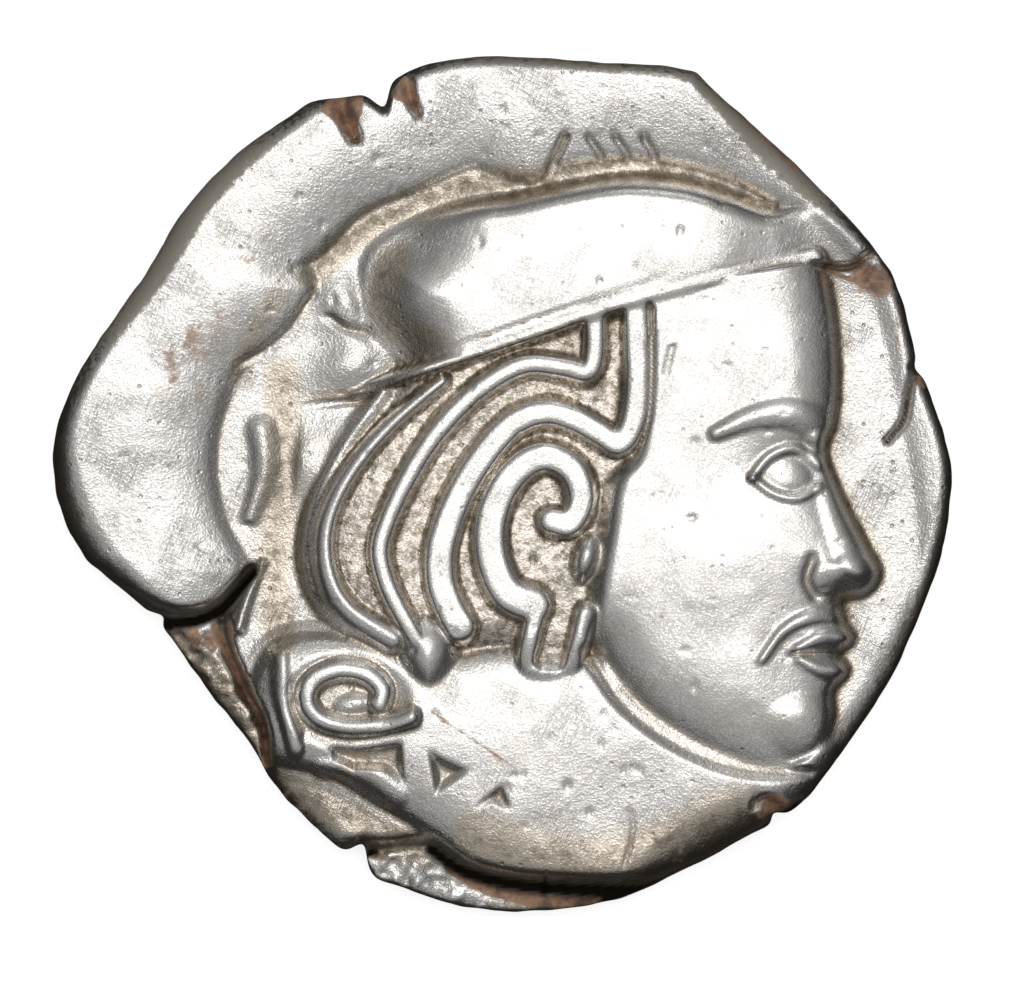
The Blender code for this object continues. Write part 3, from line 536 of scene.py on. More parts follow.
@dataclass
class Cap:
    """Soft cap, and the band along its lower edge."""

    rise: float = 36.0
    roundness: float = 2.4
    left_roundness: float = 9.5
    crown_roundness: float = 12.0
    front_fall: float = 0.46
    band_rise: float = 34.9
    band_width: float = 3.4
    crown: Line = (
        (-12.0, 13.7), (-15.4, 17.4), (-15.9, 22.2), (-14.6, 26.2), (-10.2, 29.0), (-4.4, 31.0),
        (1.2, 31.8), (6.7, 33.0), (13.1, 34.0), (19.8, 33.6), (25.4, 32.0), (30.0, 30.4),
        (34.0, 31.6), (38.6, 33.6),
    )
    low_edge: Line = (
        (44.0, 26.4), (38.0, 24.4), (34.4, 24.8), (26.0, 23.6), (18.0, 21.6), (10.6, 19.4),
        (4.0, 16.9), (-3.6, 14.3), (-12.0, 12.0),
    )
    band: Line = (
        (-16.6, 10.0), (-10.0, 12.2), (-3.6, 14.3), (4.0, 16.9), (10.6, 19.2), (18.0, 21.4),
        (26.0, 23.4), (34.4, 25.0),
    )
    band_line: Line = (
        (-12.6, 12.8), (-8.0, 14.3), (-2.5, 16.1), (5.0, 18.7), (12.0, 21.0), (18.0, 22.9),
    )

    def over(self, at: Places, field: float, under: Array) -> Array:
        """Lays the cap over what is there.

        Args:
            at: The places.
            field: Level of the field.
            under: Level so far.

        Returns:
            The new level.
        """
        x = at.x
        crown, low = curve(self.crown), curve(self.low_edge)
        from_crown, from_band = nearest(at, crown, REACH)[0], nearest(at, low, REACH)[0]
        dome = 0.34 + 0.56 * pillow(from_crown, self.roundness)
        dome = blend(dome, 0.12 + 0.78 * ease(from_crown / self.left_roundness),
                     ease((-1 - x) / 11))
        dome += 0.1 * pillow(from_crown, self.crown_roundness, 2.0)
        front = 1 - self.front_fall * ease((x - 22) / 13)
        dome = field + self.rise * front * dome * (0.97 + 0.03 * pillow(from_band, 5.0))
        loop = np.vstack([crown, low, crown[:1]])
        cover = ease(0.5 + depth(at, loop, 3) / SOFT_EDGE) * (1 - ease((x - 30) / 8))
        level = blend(under, np.maximum(under - 6 * (1 - ease((x - 22) / 8)), dome), cover)
        high = self.band_rise * front * (0.1 + 0.9 * ease((x + 17) / 9))
        band = strand(at, self.band, self.band_width, 1.0, (0.5, 1.0), 5.0)
        level = np.maximum(level, field + high * band)
        return level - groove(at, self.band_line, 0.9, 1.2, (1.0, 0.5))


@dataclass
class Hair:
    """Hair below the cap: three long locks, the curl over the ear and its drop."""

    rise: float = 31.0
    roundness: float = 6.0
    cut: float = 12.0
    fullness: tuple[float, float, float, float, float] = (3.0, 4.0, 6.0, 6.0, 3.6)
    widths: tuple[float, float, float, float, float] = (3.1, 3.1, 4.1, 4.7, 2.9)
    tapers: tuple[Point, ...] = ((0.6, 1.2), (1.0, 0.9), (0.72, 1.04), (1.0, 0.76), (1.0, 1.0))
    ear_bead: tuple[Point, Point, float, float] = ((9.2, -8.2), (2.9, 1.6), 75.0, 1.02)
    lock_knot: tuple[Point, Point, float, float] = ((-8.3, -19.4), (3.8, 5.0), 14.0, 1.1)
    nape: Line = (
        (-14.0, 10.6), (-18.6, 4.0), (-21.8, -3.0), (-22.4, -9.4), (-20.2, -14.4), (-15.6, -18.6),
        (-11.4, -21.6), (-8.1, -25.4), (-5.0, -21.4), (-1.0, -20.4), (3.4, -22.8), (9.0, -21.6),
    )
    back_lock: Line = (
        (-6.6, 11.4), (-12.4, 6.6), (-17.0, 1.2), (-19.6, -4.4), (-19.6, -9.6), (-17.4, -14.0),
        (-12.4, -17.4),
    )
    middle_lock: Line = (
        (10.2, 18.1), (10.2, 14.5), (9.4, 12.4), (6.6, 12.9), (2.6, 13.2), (-1.2, 11.4),
        (-4.6, 8.6), (-7.9, 4.8), (-10.5, 0.6), (-12.6, -3.8), (-13.6, -7.4), (-12.7, -11.3),
        (-10.7, -15.3), (-8.6, -19.0),
    )
    front_lock: Line = (
        (14.6, 19.6), (14.7, 9.0), (13.1, 4.6), (10.6, 5.7), (7.8, 7.2), (4.7, 7.9), (1.4, 6.8),
        (-1.5, 3.9), (-4.0, 0.2), (-5.8, -3.6), (-6.9, -7.4), (-6.8, -11.0), (-5.7, -14.0),
        (-4.7, -15.8),
    )
    ear_curl: Line = (
        (3.4, -13.4), (0.6, -12.1), (-1.0, -9.0), (-1.4, -5.0), (-0.2, -1.0), (2.2, 2.0),
        (5.0, 3.0), (7.8, 1.4), (8.7, -1.8), (7.4, -4.3), (5.4, -4.1),
    )
    ear_drop: Line = (
        (4.0, -13.8), (3.1, -16.8), (2.6, -20.2), (4.9, -21.3), (7.2, -21.0), (8.3, -18.0),
        (9.2, -14.4),
    )

    def over(self, at: Places, field: float, band: Line, under: Array
             ) -> tuple[Array, Array]:
        """Lays the hair over what is there.

        Args:
            at: The places.
            field: Level of the field.
            band: Band of the cap, which the hair comes out of.
            under: Level so far.

        Returns:
            The new level, and the gaps between the locks from 0 to 1.
        """
        nape = curve(self.nape)
        loop = np.vstack([nape, [(14, -18), (17, 4), (16.2, 20.5)], curve(band)[::-1], nape[:1]])
        dist, _ = nearest(at, nape, 10)
        dome = field + self.rise * (0.3 + 0.7 * pillow(dist, self.roundness))
        low = dome - self.cut * ease((dist - 0.4) / 2.0)
        cover = ease(0.5 + depth(at, loop, 3) / SOFT_EDGE)
        level = blend(under, np.maximum(low, under), cover)
        lines = (self.back_lock, self.middle_lock, self.front_lock, self.ear_curl, self.ear_drop)
        locks = np.maximum(bead(at, *self.ear_bead), bead(at, *self.lock_knot))
        for line, width, ends, full in zip(lines, self.widths, self.tapers, self.fullness):
            locks = np.maximum(locks, strand(at, line, width, 1.0, ends, full))
        crest = field + self.rise * (0.65 + 0.4 * pillow(dist, self.roundness))
        level = np.where(locks > 0, np.maximum(level, low + (crest - low) * locks), level)
        gaps = cover * (1 - ease(1.6 * locks)) * ease((dist - 0.6) / 1.6)
        return level, gaps


@dataclass
class Face:
    """A plain classical face in profile: thirds of equal height from the band to the chin."""

    rise: float = 33.0
    roundness: float = 13.0
    profile: Line = (
        (35.4, 25.0), (36.6, 18.5), (37.0, 11.5), (36.6, 7.0), (35.6, 3.6), (37.4, -1.5),
        (40.2, -7.0), (41.6, -9.8), (40.3, -12.0), (37.4, -12.8), (37.7, -15.2), (38.6, -17.2),
        (37.2, -18.9), (38.0, -20.8), (36.4, -23.0), (36.4, -26.0), (35.0, -29.2), (31.6, -31.4),
    )
    jaw: Line = ((31.6, -31.4), (26.5, -30.9), (20.0, -28.2), (14.2, -23.8), (10.4, -18.0))
    under_jaw: Line = ((34.0, -32.0), (26.6, -31.6), (19.6, -28.9), (13.6, -24.4), (9.6, -18.6))
    temple: Line = (
        (9.4, -24.0), (10.4, -12.0), (11.4, -6.0), (12.4, 0.0), (15.1, 5.0), (15.4, 22.0),
    )
    # Eye socket, cheek, dip beside the mouth
    swells: Lumps = (
        ((31.4, 1.6), (4.6, 3.2), 0.0, -6.0), ((25.0, -8.5), (8.0, 6.5), 30.0, 4.0),
        ((31.0, -18.5), (2.8, 6.0), 12.0, -2.4),
    )
    # Tip of the nose, its wing, chin, eyeball
    beads: Lumps = (
        ((38.9, -9.6), (2.7, 2.2), 0.0, 3.2), ((36.0, -10.4), (2.1, 2.1), 20.0, 4.0),
        ((33.4, -26.8), (4.4, 3.8), 0.0, 3.6), ((31.8, 1.2), (3.1, 2.1), 0.0, 5.0),
    )
    # Brow, bridge of the nose
    broad_bands: Bands = (
        (((23.6, 5.6), (28.0, 7.4), (32.4, 7.6), (36.2, 5.4)), 4.8, 4.2, (0.4, 1.0)),
        (((35.0, 4.6), (37.0, -2.5), (39.3, -8.4)), 4.8, 4.6, (0.6, 1.0)),
    )
    # Lips, moustache, lids
    bands: Bands = (
        (((32.6, -18.2), (35.4, -17.1), (38.4, -16.9)), 2.8, 3.6, (0.4, 1.0)),
        (((32.8, -19.4), (35.4, -20.6), (37.6, -20.8)), 2.8, 3.6, (0.4, 1.0)),
        (((38.0, -14.4), (34.6, -14.6), (31.2, -16.2), (28.6, -19.6)), 2.4, 3.6, (1.0, 0.4)),
        (((27.6, 0.7), (29.6, 3.0), (32.4, 3.8), (35.0, 2.2)), 1.7, 4.6, (0.7, 1.0)),
        (((27.6, 0.7), (30.0, -1.0), (32.6, -1.5), (34.8, -0.4)), 1.5, 4.0, (0.7, 1.0)),
    )
    # Behind the wing of the nose, between the lips
    cuts: Bands = (
        (((34.3, -8.2), (33.6, -10.6), (34.6, -12.6)), 1.8, 3.6, (1.0, 1.0)),
        (((32.0, -18.9), (35.2, -18.8), (38.6, -19.0)), 1.3, 4.6, (0.6, 1.0)),
    )

    def over(self, at: Places, field: float, under: Array) -> tuple[Array, Array]:
        """Lays the face over what is there, running softly into the hair at the temple.

        Args:
            at: The places.
            field: Level of the field.
            under: Level so far.

        Returns:
            The new level, and how far the face covers what lies under it.
        """
        x, y = at
        front, jaw = curve(self.profile), curve(self.jaw)
        loop = np.vstack([front, jaw[1:], [(2, -12), (2, 20.5)], front[:1]])
        deep = between(nearest(at, front, REACH)[0], nearest(at, jaw, REACH)[0])
        rise = self.rise * (0.4 + 0.6 * pillow(deep, self.roundness, 2.4))
        rise += self.features(at)
        temple = curve(self.temple)
        behind = np.interp(y, temple[:, 1], temple[:, 0]) - x
        cover = ease(0.5 + depth(at, loop, 3) / SOFT_EDGE) * ease(0.5 - behind / 3.0)
        level = blend(under, field + rise, cover)
        return level - groove(at, self.under_jaw, 3.0, 7.0, (0.7, 1.0)), cover

    def features(self, at: Places) -> Array:
        """Brow, eye, cheek, nose, lips, moustache and chin over the face's own pillow.

        Args:
            at: The places.

        Returns:
            What they add to the level.
        """
        rise = swells(at, self.swells) - grooves(at, self.cuts)
        rise += sum(bead(at, *row) for row in self.beads)
        rise += sum(strand(at, *row, 2.0) for row in self.broad_bands)
        return rise + sum(strand(at, *row) for row in self.bands)


@dataclass
class TornLayers:
    """The ledge under the left lobe, the flap under the bottom lip, and the cracks."""

    ledge: float = 47.0
    flap: float = 43.0
    lobe_edge: Line = (
        (-45.0, -9.6), (-41.0, -12.4), (-37.6, -14.0), (-34.6, -14.4), (-31.8, -13.6),
        (-29.8, -11.8), (-27.8, -9.6),
    )
    split: Line = (
        (-31.4, -15.6), (-30.6, -18.7), (-28.6, -23.0), (-27.2, -25.4), (-26.2, -28.0),
        (-26.0, -31.4), (-25.2, -34.6),
    )
    lip: Line = (
        (-17.4, -40.4), (-12.5, -40.2), (-8.0, -39.9), (-5.6, -41.4), (-3.4, -42.7),
        (0.6, -43.7), (4.7, -44.1), (11.8, -44.3), (16.8, -44.0), (21.9, -42.2),
    )
    # Cracks: line, width, depth, and how dark the painted shadow in the crack is
    cracks: tuple[tuple[Line, float, float, float], ...] = (
        (((-31.0, -15.0), (-30.2, -18.7), (-28.2, -23.0), (-26.6, -26.2), (-26.0, -31.0)),
         2.0, 15.0, 0.5),
        (((-18.4, 43.6), (-17.4, 40.6), (-16.4, 38.4)), 3.4, 16.0, 0.0),
        (((-10.6, 44.6), (-10.2, 42.6), (-9.4, 41.0)), 2.2, 9.0, 0.1),
        (((41.4, 26.0), (38.4, 24.0), (34.6, 24.4)), 1.6, 12.0, 0.3),
        (((41.2, 24.8), (40.2, 22.6)), 1.5, 7.0, 0.0),
        (((47.0, 12.4), (45.4, 12.9)), 1.8, 10.0, 0.2),
        (((45.8, 12.6), (45.0, 10.2), (44.4, 7.0), (42.6, 4.6)), 1.4, 8.0, 0.8),
        (((32.2, -37.4), (29.6, -35.0), (27.8, -35.6)), 2.0, 11.0, 0.4),
        (((4.6, -45.4), (4.8, -43.4)), 1.2, 9.0, 0.8),
        (((13.4, -42.4), (14.5, -38.2), (13.9, -36.0)), 0.8, 1.5, 0.0),
        (((16.5, 19.4), (16.5, 12.0), (16.1, 7.0), (14.6, 3.2)), 0.9, 5.0, 0.3),
        (((18.8, 15.2), (18.0, 12.0)), 0.8, 2.5, 0.1),
    )

    # Painted shadow: black bands in the gaps under the lip and the lobe, and along the shadowed
    # lower right edge
    shade: Cuts = (
        (((-8.0, -40.6), (-5.8, -42.2), (-3.4, -43.4), (0.6, -44.4), (4.7, -44.9), (11.8, -45.2),
          (16.8, -45.0), (21.9, -43.2)), 4.4, 1.3),
        (((33.0, -35.8), (27.0, -40.4), (22.0, -43.2), (17.0, -45.4), (12.0, -46.0)), 4.8, 1.5),
        (((-27.6, -9.8), (-29.6, -12.2), (-31.6, -14.2), (-34.6, -15.3), (-38.0, -15.2),
          (-41.0, -13.6), (-45.0, -10.6)), 3.2, 1.5),
        (((-37.0, -15.8), (-41.4, -14.2)), 2.8, 2.2),
        (((-16.6, -41.5), (-14.2, -40.9)), 1.6, 1.6),
    )

    def over(self, at: Places, under: Array) -> tuple[Array, Array]:
        """Breaks the struck face down to the torn layers.

        Args:
            at: The places.
            under: Level so far.

        Returns:
            The new level, and the painted shadow in the gaps and cracks, from 0 to 1.
        """
        lobe, split = curve(self.lobe_edge), curve(self.split)
        loop = np.vstack([lobe, split, [(-60, -60), (-60, -20)]])
        into = nearest(at, np.vstack([lobe, split]), 6)[0]
        low = self.ledge - 4 * ease(into / 5) + self.lumps(at)
        low += 5 * swell(at, (-31.5, -19.6), (2.2, 3.2), 30) - 7 * (1 - ease(into / 1.1))
        cover = ease(0.6 + np.where(inside(at, loop), into, -into) / 1.5)
        off = nearest(at, lobe, 4)[0]
        level = blend(under - 6 * (1 - ease(off / 1.6))**2, np.minimum(under, low), cover)
        # Painted shadow under the lobe's edge
        dark = cover * (1 - ease(off / 1.5))
        lip = curve(self.lip)
        away = nearest(at, lip, 6)[0]
        low = self.flap - 8 * (1 - ease(away / 1.0)) + self.lumps(at)
        loop = np.vstack([lip, [(20, -60), (-22, -60)]])
        cover = ease(0.6 + np.where(inside(at, loop), away, -away) / 1.6)
        level = blend(level - 8 * (1 - ease(away / 2.0))**2, np.minimum(level, low), cover)
        # Painted shadow under the lip
        dark = np.maximum(dark, cover * (1 - ease(away / 0.9)))
        for points, width, amount in self.shade:
            gap = groove(at, points, width, amount, (0.6, 1.0))
            dark = np.maximum(dark, np.minimum(gap, 1.0))
        for line, width, deep, painted_shadow in self.cracks:
            level = level - groove(at, line, width, deep, (1.0, 0.6))
            dark = np.maximum(dark, groove(at, line, width, painted_shadow, (1.0, 0.6)))
        return level, dark

    @staticmethod
    def lumps(at: Places) -> Array:
        """Unevenness of torn metal: three sizes of ripple added up."""
        return 2 * ripple(at, 2.4, 5) + 2.2 * ripple(at, 1.2, 6) + 1.4 * ripple(at, 0.7, 7)


@dataclass
class Wear:
    """Unevenness that hammering, burial and handling left."""

    waves: tuple[tuple[float, float, int], ...] = (
        (9.0, 0.9, 11), (4.2, 0.28, 12), (2.1, 0.15, 13), (1.05, 0.1, 14),
    )
    pit_count: int = 130
    pit_seed: int = 21

    def over(self, at: Places, under: Array) -> Array:
        """Adds waves and small pits.

        Args:
            at: The places.
            under: Level so far.

        Returns:
            The new level.
        """
        x, y = at
        level = under.copy()
        for size, high, seed in self.waves:
            level += high * ripple(Places(x + 7 * seed, y - 5 * seed), size, seed)
        rng = np.random.default_rng(self.pit_seed)
        for _ in range(self.pit_count):
            reach = 47 * math.sqrt(rng.uniform())
            turn = rng.uniform(0, math.tau)
            cx, cy = reach * math.cos(turn), reach * math.sin(turn)
            size = rng.uniform(0.22, 0.5)
            near = (np.abs(x - cx) < 2.5 * size) & (np.abs(y - cy) < 2.5 * size)
            level[near] -= swell(Places(x[near], y[near]), (cx, cy),
                                 (size, size * rng.uniform(0.6, 1)), math.degrees(turn),
                                 rng.uniform(0.8, 2.0))
        return level


@dataclass
class Reverse:
    """A three-arched hill under a crescent, over a wavy line, in a ring of rubbed strokes."""

    field_depth: float = 9.0
    stroke_count: int = 22
    stroke_radius: float = 31.0
    stroke_rise: float = 0.75
    stroke_kinds: tuple[tuple[float, float], ...] = ((2.8, 0.0), (1.7, 0.9), (2.2, -0.5))
    ring_centre: Point = (3.0, -2.0)
    ring_radii: Point = (38.0, 36.5)
    arch_width: float = 3.0

    def level(self, at: Places) -> Array:
        """Level of the reverse, 0 on the plane that the coin rests on.

        Args:
            at: The places.

        Returns:
            The level.
        """
        ring = turned(at, self.ring_centre, self.ring_radii, 20)
        sunk = self.field_depth * ease((1.06 - ring) / 0.09)
        wave = tuple((3 + s, -17.6 + 1.5 * math.sin(s / 2.2)) for s in range(-17, 18, 2))
        raised = np.maximum.reduce([
            self.arch(at, (-6.6, -11.0), 9.6),
            self.arch(at, (12.6, -11.0), 9.6),
            self.arch(at, (3.0, 0.6), 9.0),
            self.arch(at, (3.0, 20.4), 5.4, -1),
            strand(at, wave, 2.2),
            bead(at, (19.0, 14.0), (2.8, 2.8)),
            bead(at, (-13.0, 14.0), (2.8, 2.8)),
            self.strokes(at),
        ])
        return sunk * (1 - np.minimum(raised * 1.3, 1.0))

    def arch(self, at: Places, foot: Point, radius: float, way: int = 1) -> Array:
        """Half ring that stands on its foot, or hangs from it.

        Args:
            at: The places.
            foot: Middle of the half ring's straight side.
            radius: Its radius.
            way: 1 standing or -1 hanging.

        Returns:
            The height from 0 to 1.
        """
        x, y = at
        dx, dy = x - foot[0], (y - foot[1]) * way
        legs = np.hypot(np.abs(dx) - radius, dy)
        off = np.where(dy > 0, np.abs(np.hypot(dx, dy) - radius), legs)
        return 1 - np.clip(2 * off / self.arch_width, 0, 1)**2.4

    def strokes(self, at: Places) -> Array:
        """Rubbed radial strokes round the hill, of three lengths in turn.

        Args:
            at: The places.

        Returns:
            The height from 0 to 1.
        """
        x, y = at
        raised = np.zeros(x.shape)
        for mark in range(self.stroke_count):
            turn = math.tau * mark / self.stroke_count
            c, s = math.cos(turn), math.sin(turn)
            across = (x - self.ring_centre[0]) * c + (y - self.ring_centre[1]) * s
            along = (y - self.ring_centre[1]) * c - (x - self.ring_centre[0]) * s
            half, shift = self.stroke_kinds[mark % len(self.stroke_kinds)]
            past = np.maximum(np.abs(across - self.stroke_radius - shift) - half, 0)
            off = np.hypot(past, along)
            raised = np.maximum(raised, self.stroke_rise * (1 - np.clip(off, 0, 1)**2))
        return raised


@dataclass
class Deposits:
    """Copper-red and brown deposits in the cracks and on the broken edges, and tarnish lines that
    also paint shade on the slopes.
    """

    spots: Lumps = (
        ((40.8, 22.9), (3.2, 2.0), -40.0, 0.9),
        ((-35.0, 14.0), (9.0, 4.5), 55.0, 0.4),
        ((-28.0, 26.0), (6.0, 4.0), 50.0, 0.3),
        ((46.3, 11.6), (1.1, 1.3), 0.0, 0.8),
        ((30.0, -35.6), (2.2, 1.4), 20.0, 0.8),
        ((19.8, -40.4), (2.6, 1.6), 25.0, 0.35),
        ((-30.4, 18.8), (1.6, 1.0), 10.0, 0.3),
        ((-26.6, -27.4), (1.4, 3.4), 15.0, 0.5),
        ((-33.4, -17.4), (3.4, 2.0), -10.0, 0.55),
    )
    patches: Cuts = (
        (((-20.8, 41.4), (-18.4, 44.4), (-15.0, 43.4), (-15.2, 41.0), (-16.2, 37.8), (-17.6, 38.6)),
         0.9, 1.0),
        (((-13.4, 42.8), (-10.8, 46.0), (-8.6, 43.0), (-9.4, 40.0), (-11.2, 41.8)), 0.9, 0.9),
        (((-8.3, -29.8), (-3.6, -31.8), (-7.4, -34.2)), 0.8, 0.25),
        (((-19.4, -29.0), (-11.4, -28.8), (-11.0, -33.0), (-13.4, -31.6), (-18.6, -30.8)), 1.0, 0.4),
        (((-4.0, -36.5), (0.0, -33.1), (1.1, -36.3), (-1.2, -35.3)), 0.6, 0.4),
    )
    lines: Cuts = (
        (((-32.0, -15.8), (-30.6, -18.7), (-28.4, -23.0), (-26.6, -26.5), (-26.2, -31.0)), 1.7, 0.8),
        (((-6.0, -42.6), (-1.0, -45.2), (5.0, -46.4), (12.0, -46.6)), 2.6, 0.9),
        (((-16.4, -40.6), (-13.0, -41.6)), 2.4, 0.6),
        (((23.6, 43.6), (28.0, 39.6), (32.6, 35.0)), 2.2, 0.6),
        (((13.9, -36.0), (14.5, -38.4), (13.4, -42.0)), 1.1, 0.4),
        (((43.2, 21.0), (43.8, 17.0), (43.6, 15.0)), 1.0, 0.5),
        (((-7.9, -25.2), (-1.7, -29.4), (0.8, -31.1)), 1.1, 0.5),
        (((-10.0, 13.5), (-1.6, 16.4), (5.4, 18.9), (13.4, 21.4)), 0.8, 0.5),
        (((36.0, 23.6), (39.0, 22.6), (42.6, 21.6)), 1.6, 0.7),
    )

    # Darker tone along these lines: partly tarnish, partly painted shade on the slopes of the border
    # and the bust
    tarnish_and_shade: Cuts = (
        (((-21.0, 23.4), (-15.0, 28.6), (-9.0, 31.6), (-2.0, 33.4), (5.0, 33.6)), 5.4, 0.86),
        (((6.0, 34.6), (14.0, 35.6), (22.0, 34.4), (28.0, 32.2)), 2.8, 0.9),
        (((-12.0, 25.0), (-13.4, 21.0), (-11.4, 17.0), (-8.0, 15.4)), 7.0, 0.6),
        (((-25.0, 21.0), (-28.0, 16.0), (-29.0, 12.0)), 5.0, 0.4),
        (((-24.4, 12.0), (-24.2, 3.0), (-25.2, -4.0), (-25.6, -10.0), (-24.6, -17.0)), 7.5, 0.62),
        (((-21.0, 9.6), (-14.0, 10.4), (-9.6, 11.4)), 2.4, 0.5),
        (((-27.0, -31.6), (-21.0, -35.2), (-14.0, -38.4), (-10.0, -40.2)), 6.5, 0.7),
        (((17.0, -43.6), (24.0, -40.6), (30.0, -36.4)), 5.0, 0.6),
        (((-3.0, -38.8), (6.0, -41.4), (16.0, -40.4), (26.0, -36.0)), 9.5, 0.6),
        (((-36.0, -17.0), (-33.0, -21.0), (-30.0, -26.0), (-27.6, -32.0)), 8.0, 0.8),
        (((-17.0, -31.0), (-12.0, -30.6)), 4.0, 0.6),
    )

    def tone_and_shade(self, at: Places) -> Array:
        """How dark the tarnish and painted shade lie, from 0 to 1: the darkest of its lines."""
        return np.maximum.reduce([groove(at, *row) for row in self.tarnish_and_shade])

    def marks(self, at: Places) -> Array:
        """How thick the deposits lie.

        Args:
            at: The places.

        Returns:
            Values from 0 to 1.
        """
        layers = [swell(at, *row) for row in self.spots]
        layers += [hollow(at, *row) for row in self.patches]
        layers += [groove(at, *row) for row in self.lines]
        return np.maximum.reduce(layers)


# The coin's skin


def disc_grid(count: int) -> tuple[Array, Array]:
    """Square grid laid over a disc: a crossing's share of the radius is the larger of its two
    coordinates, and its bearing runs evenly along each side of its square.

    Args:
        count: Cells along a side.

    Returns:
        The share of the radius and the bearing of each crossing.
    """
    line = np.linspace(-1, 1, count + 1)
    a, b = [v.ravel() for v in np.meshgrid(line, line)]
    share = np.maximum(np.abs(a), np.abs(b))
    wide = np.abs(a) >= np.abs(b)
    lean = math.pi / 4 * np.where(wide, b, a) / np.where(share == 0, 1, share)
    side = np.where(a >= 0, lean, math.pi - lean)
    top = np.where(b >= 0, math.pi / 2 - lean, lean - math.pi / 2)
    return share, np.where(wide, side, top)


def ring_of(count: int) -> Array:
    """Numbers of the grid's outermost crossings, counterclockwise from the lower left.

    Args:
        count: Cells along a side.

    Returns:
        The crossings' numbers.
    """
    n = count + 1
    steps = np.arange(count)
    return np.concatenate([steps, count + n * steps, n * n - 1 - steps, n * count - n * steps])


def grid_faces(count: int) -> Array:
    """Four-cornered faces of a grid, counterclockwise seen from above.

    Args:
        count: Cells along a side.

    Returns:
        Four vertex numbers a row.
    """
    i, j = [v.ravel() for v in np.meshgrid(np.arange(count), np.arange(count))]
    at = j * (count + 1) + i
    return np.stack([at, at + 1, at + count + 2, at + count + 1], axis=1)


def soften(values: Array, count: int, passes: int) -> Array:
    """Means over a growing neighbourhood of the grid: each pass takes half of a value and a
    quarter of each neighbour, along both ways of the grid.

    Args:
        values: Values at the crossings.
        count: Cells along a side.
        passes: Number of passes.

    Returns:
        The softened values.
    """
    grid = values.reshape(count + 1, count + 1)
    for _ in range(passes):
        for axis in (0, 1):
            wide = np.concatenate([grid.take([0], axis), grid, grid.take([-1], axis)], axis)
            size = grid.shape[axis]
            before, after = wide.take(range(size), axis), wide.take(range(2, size + 2), axis)
            grid = 0.5 * grid + 0.25 * (before + after)
    return grid.ravel()


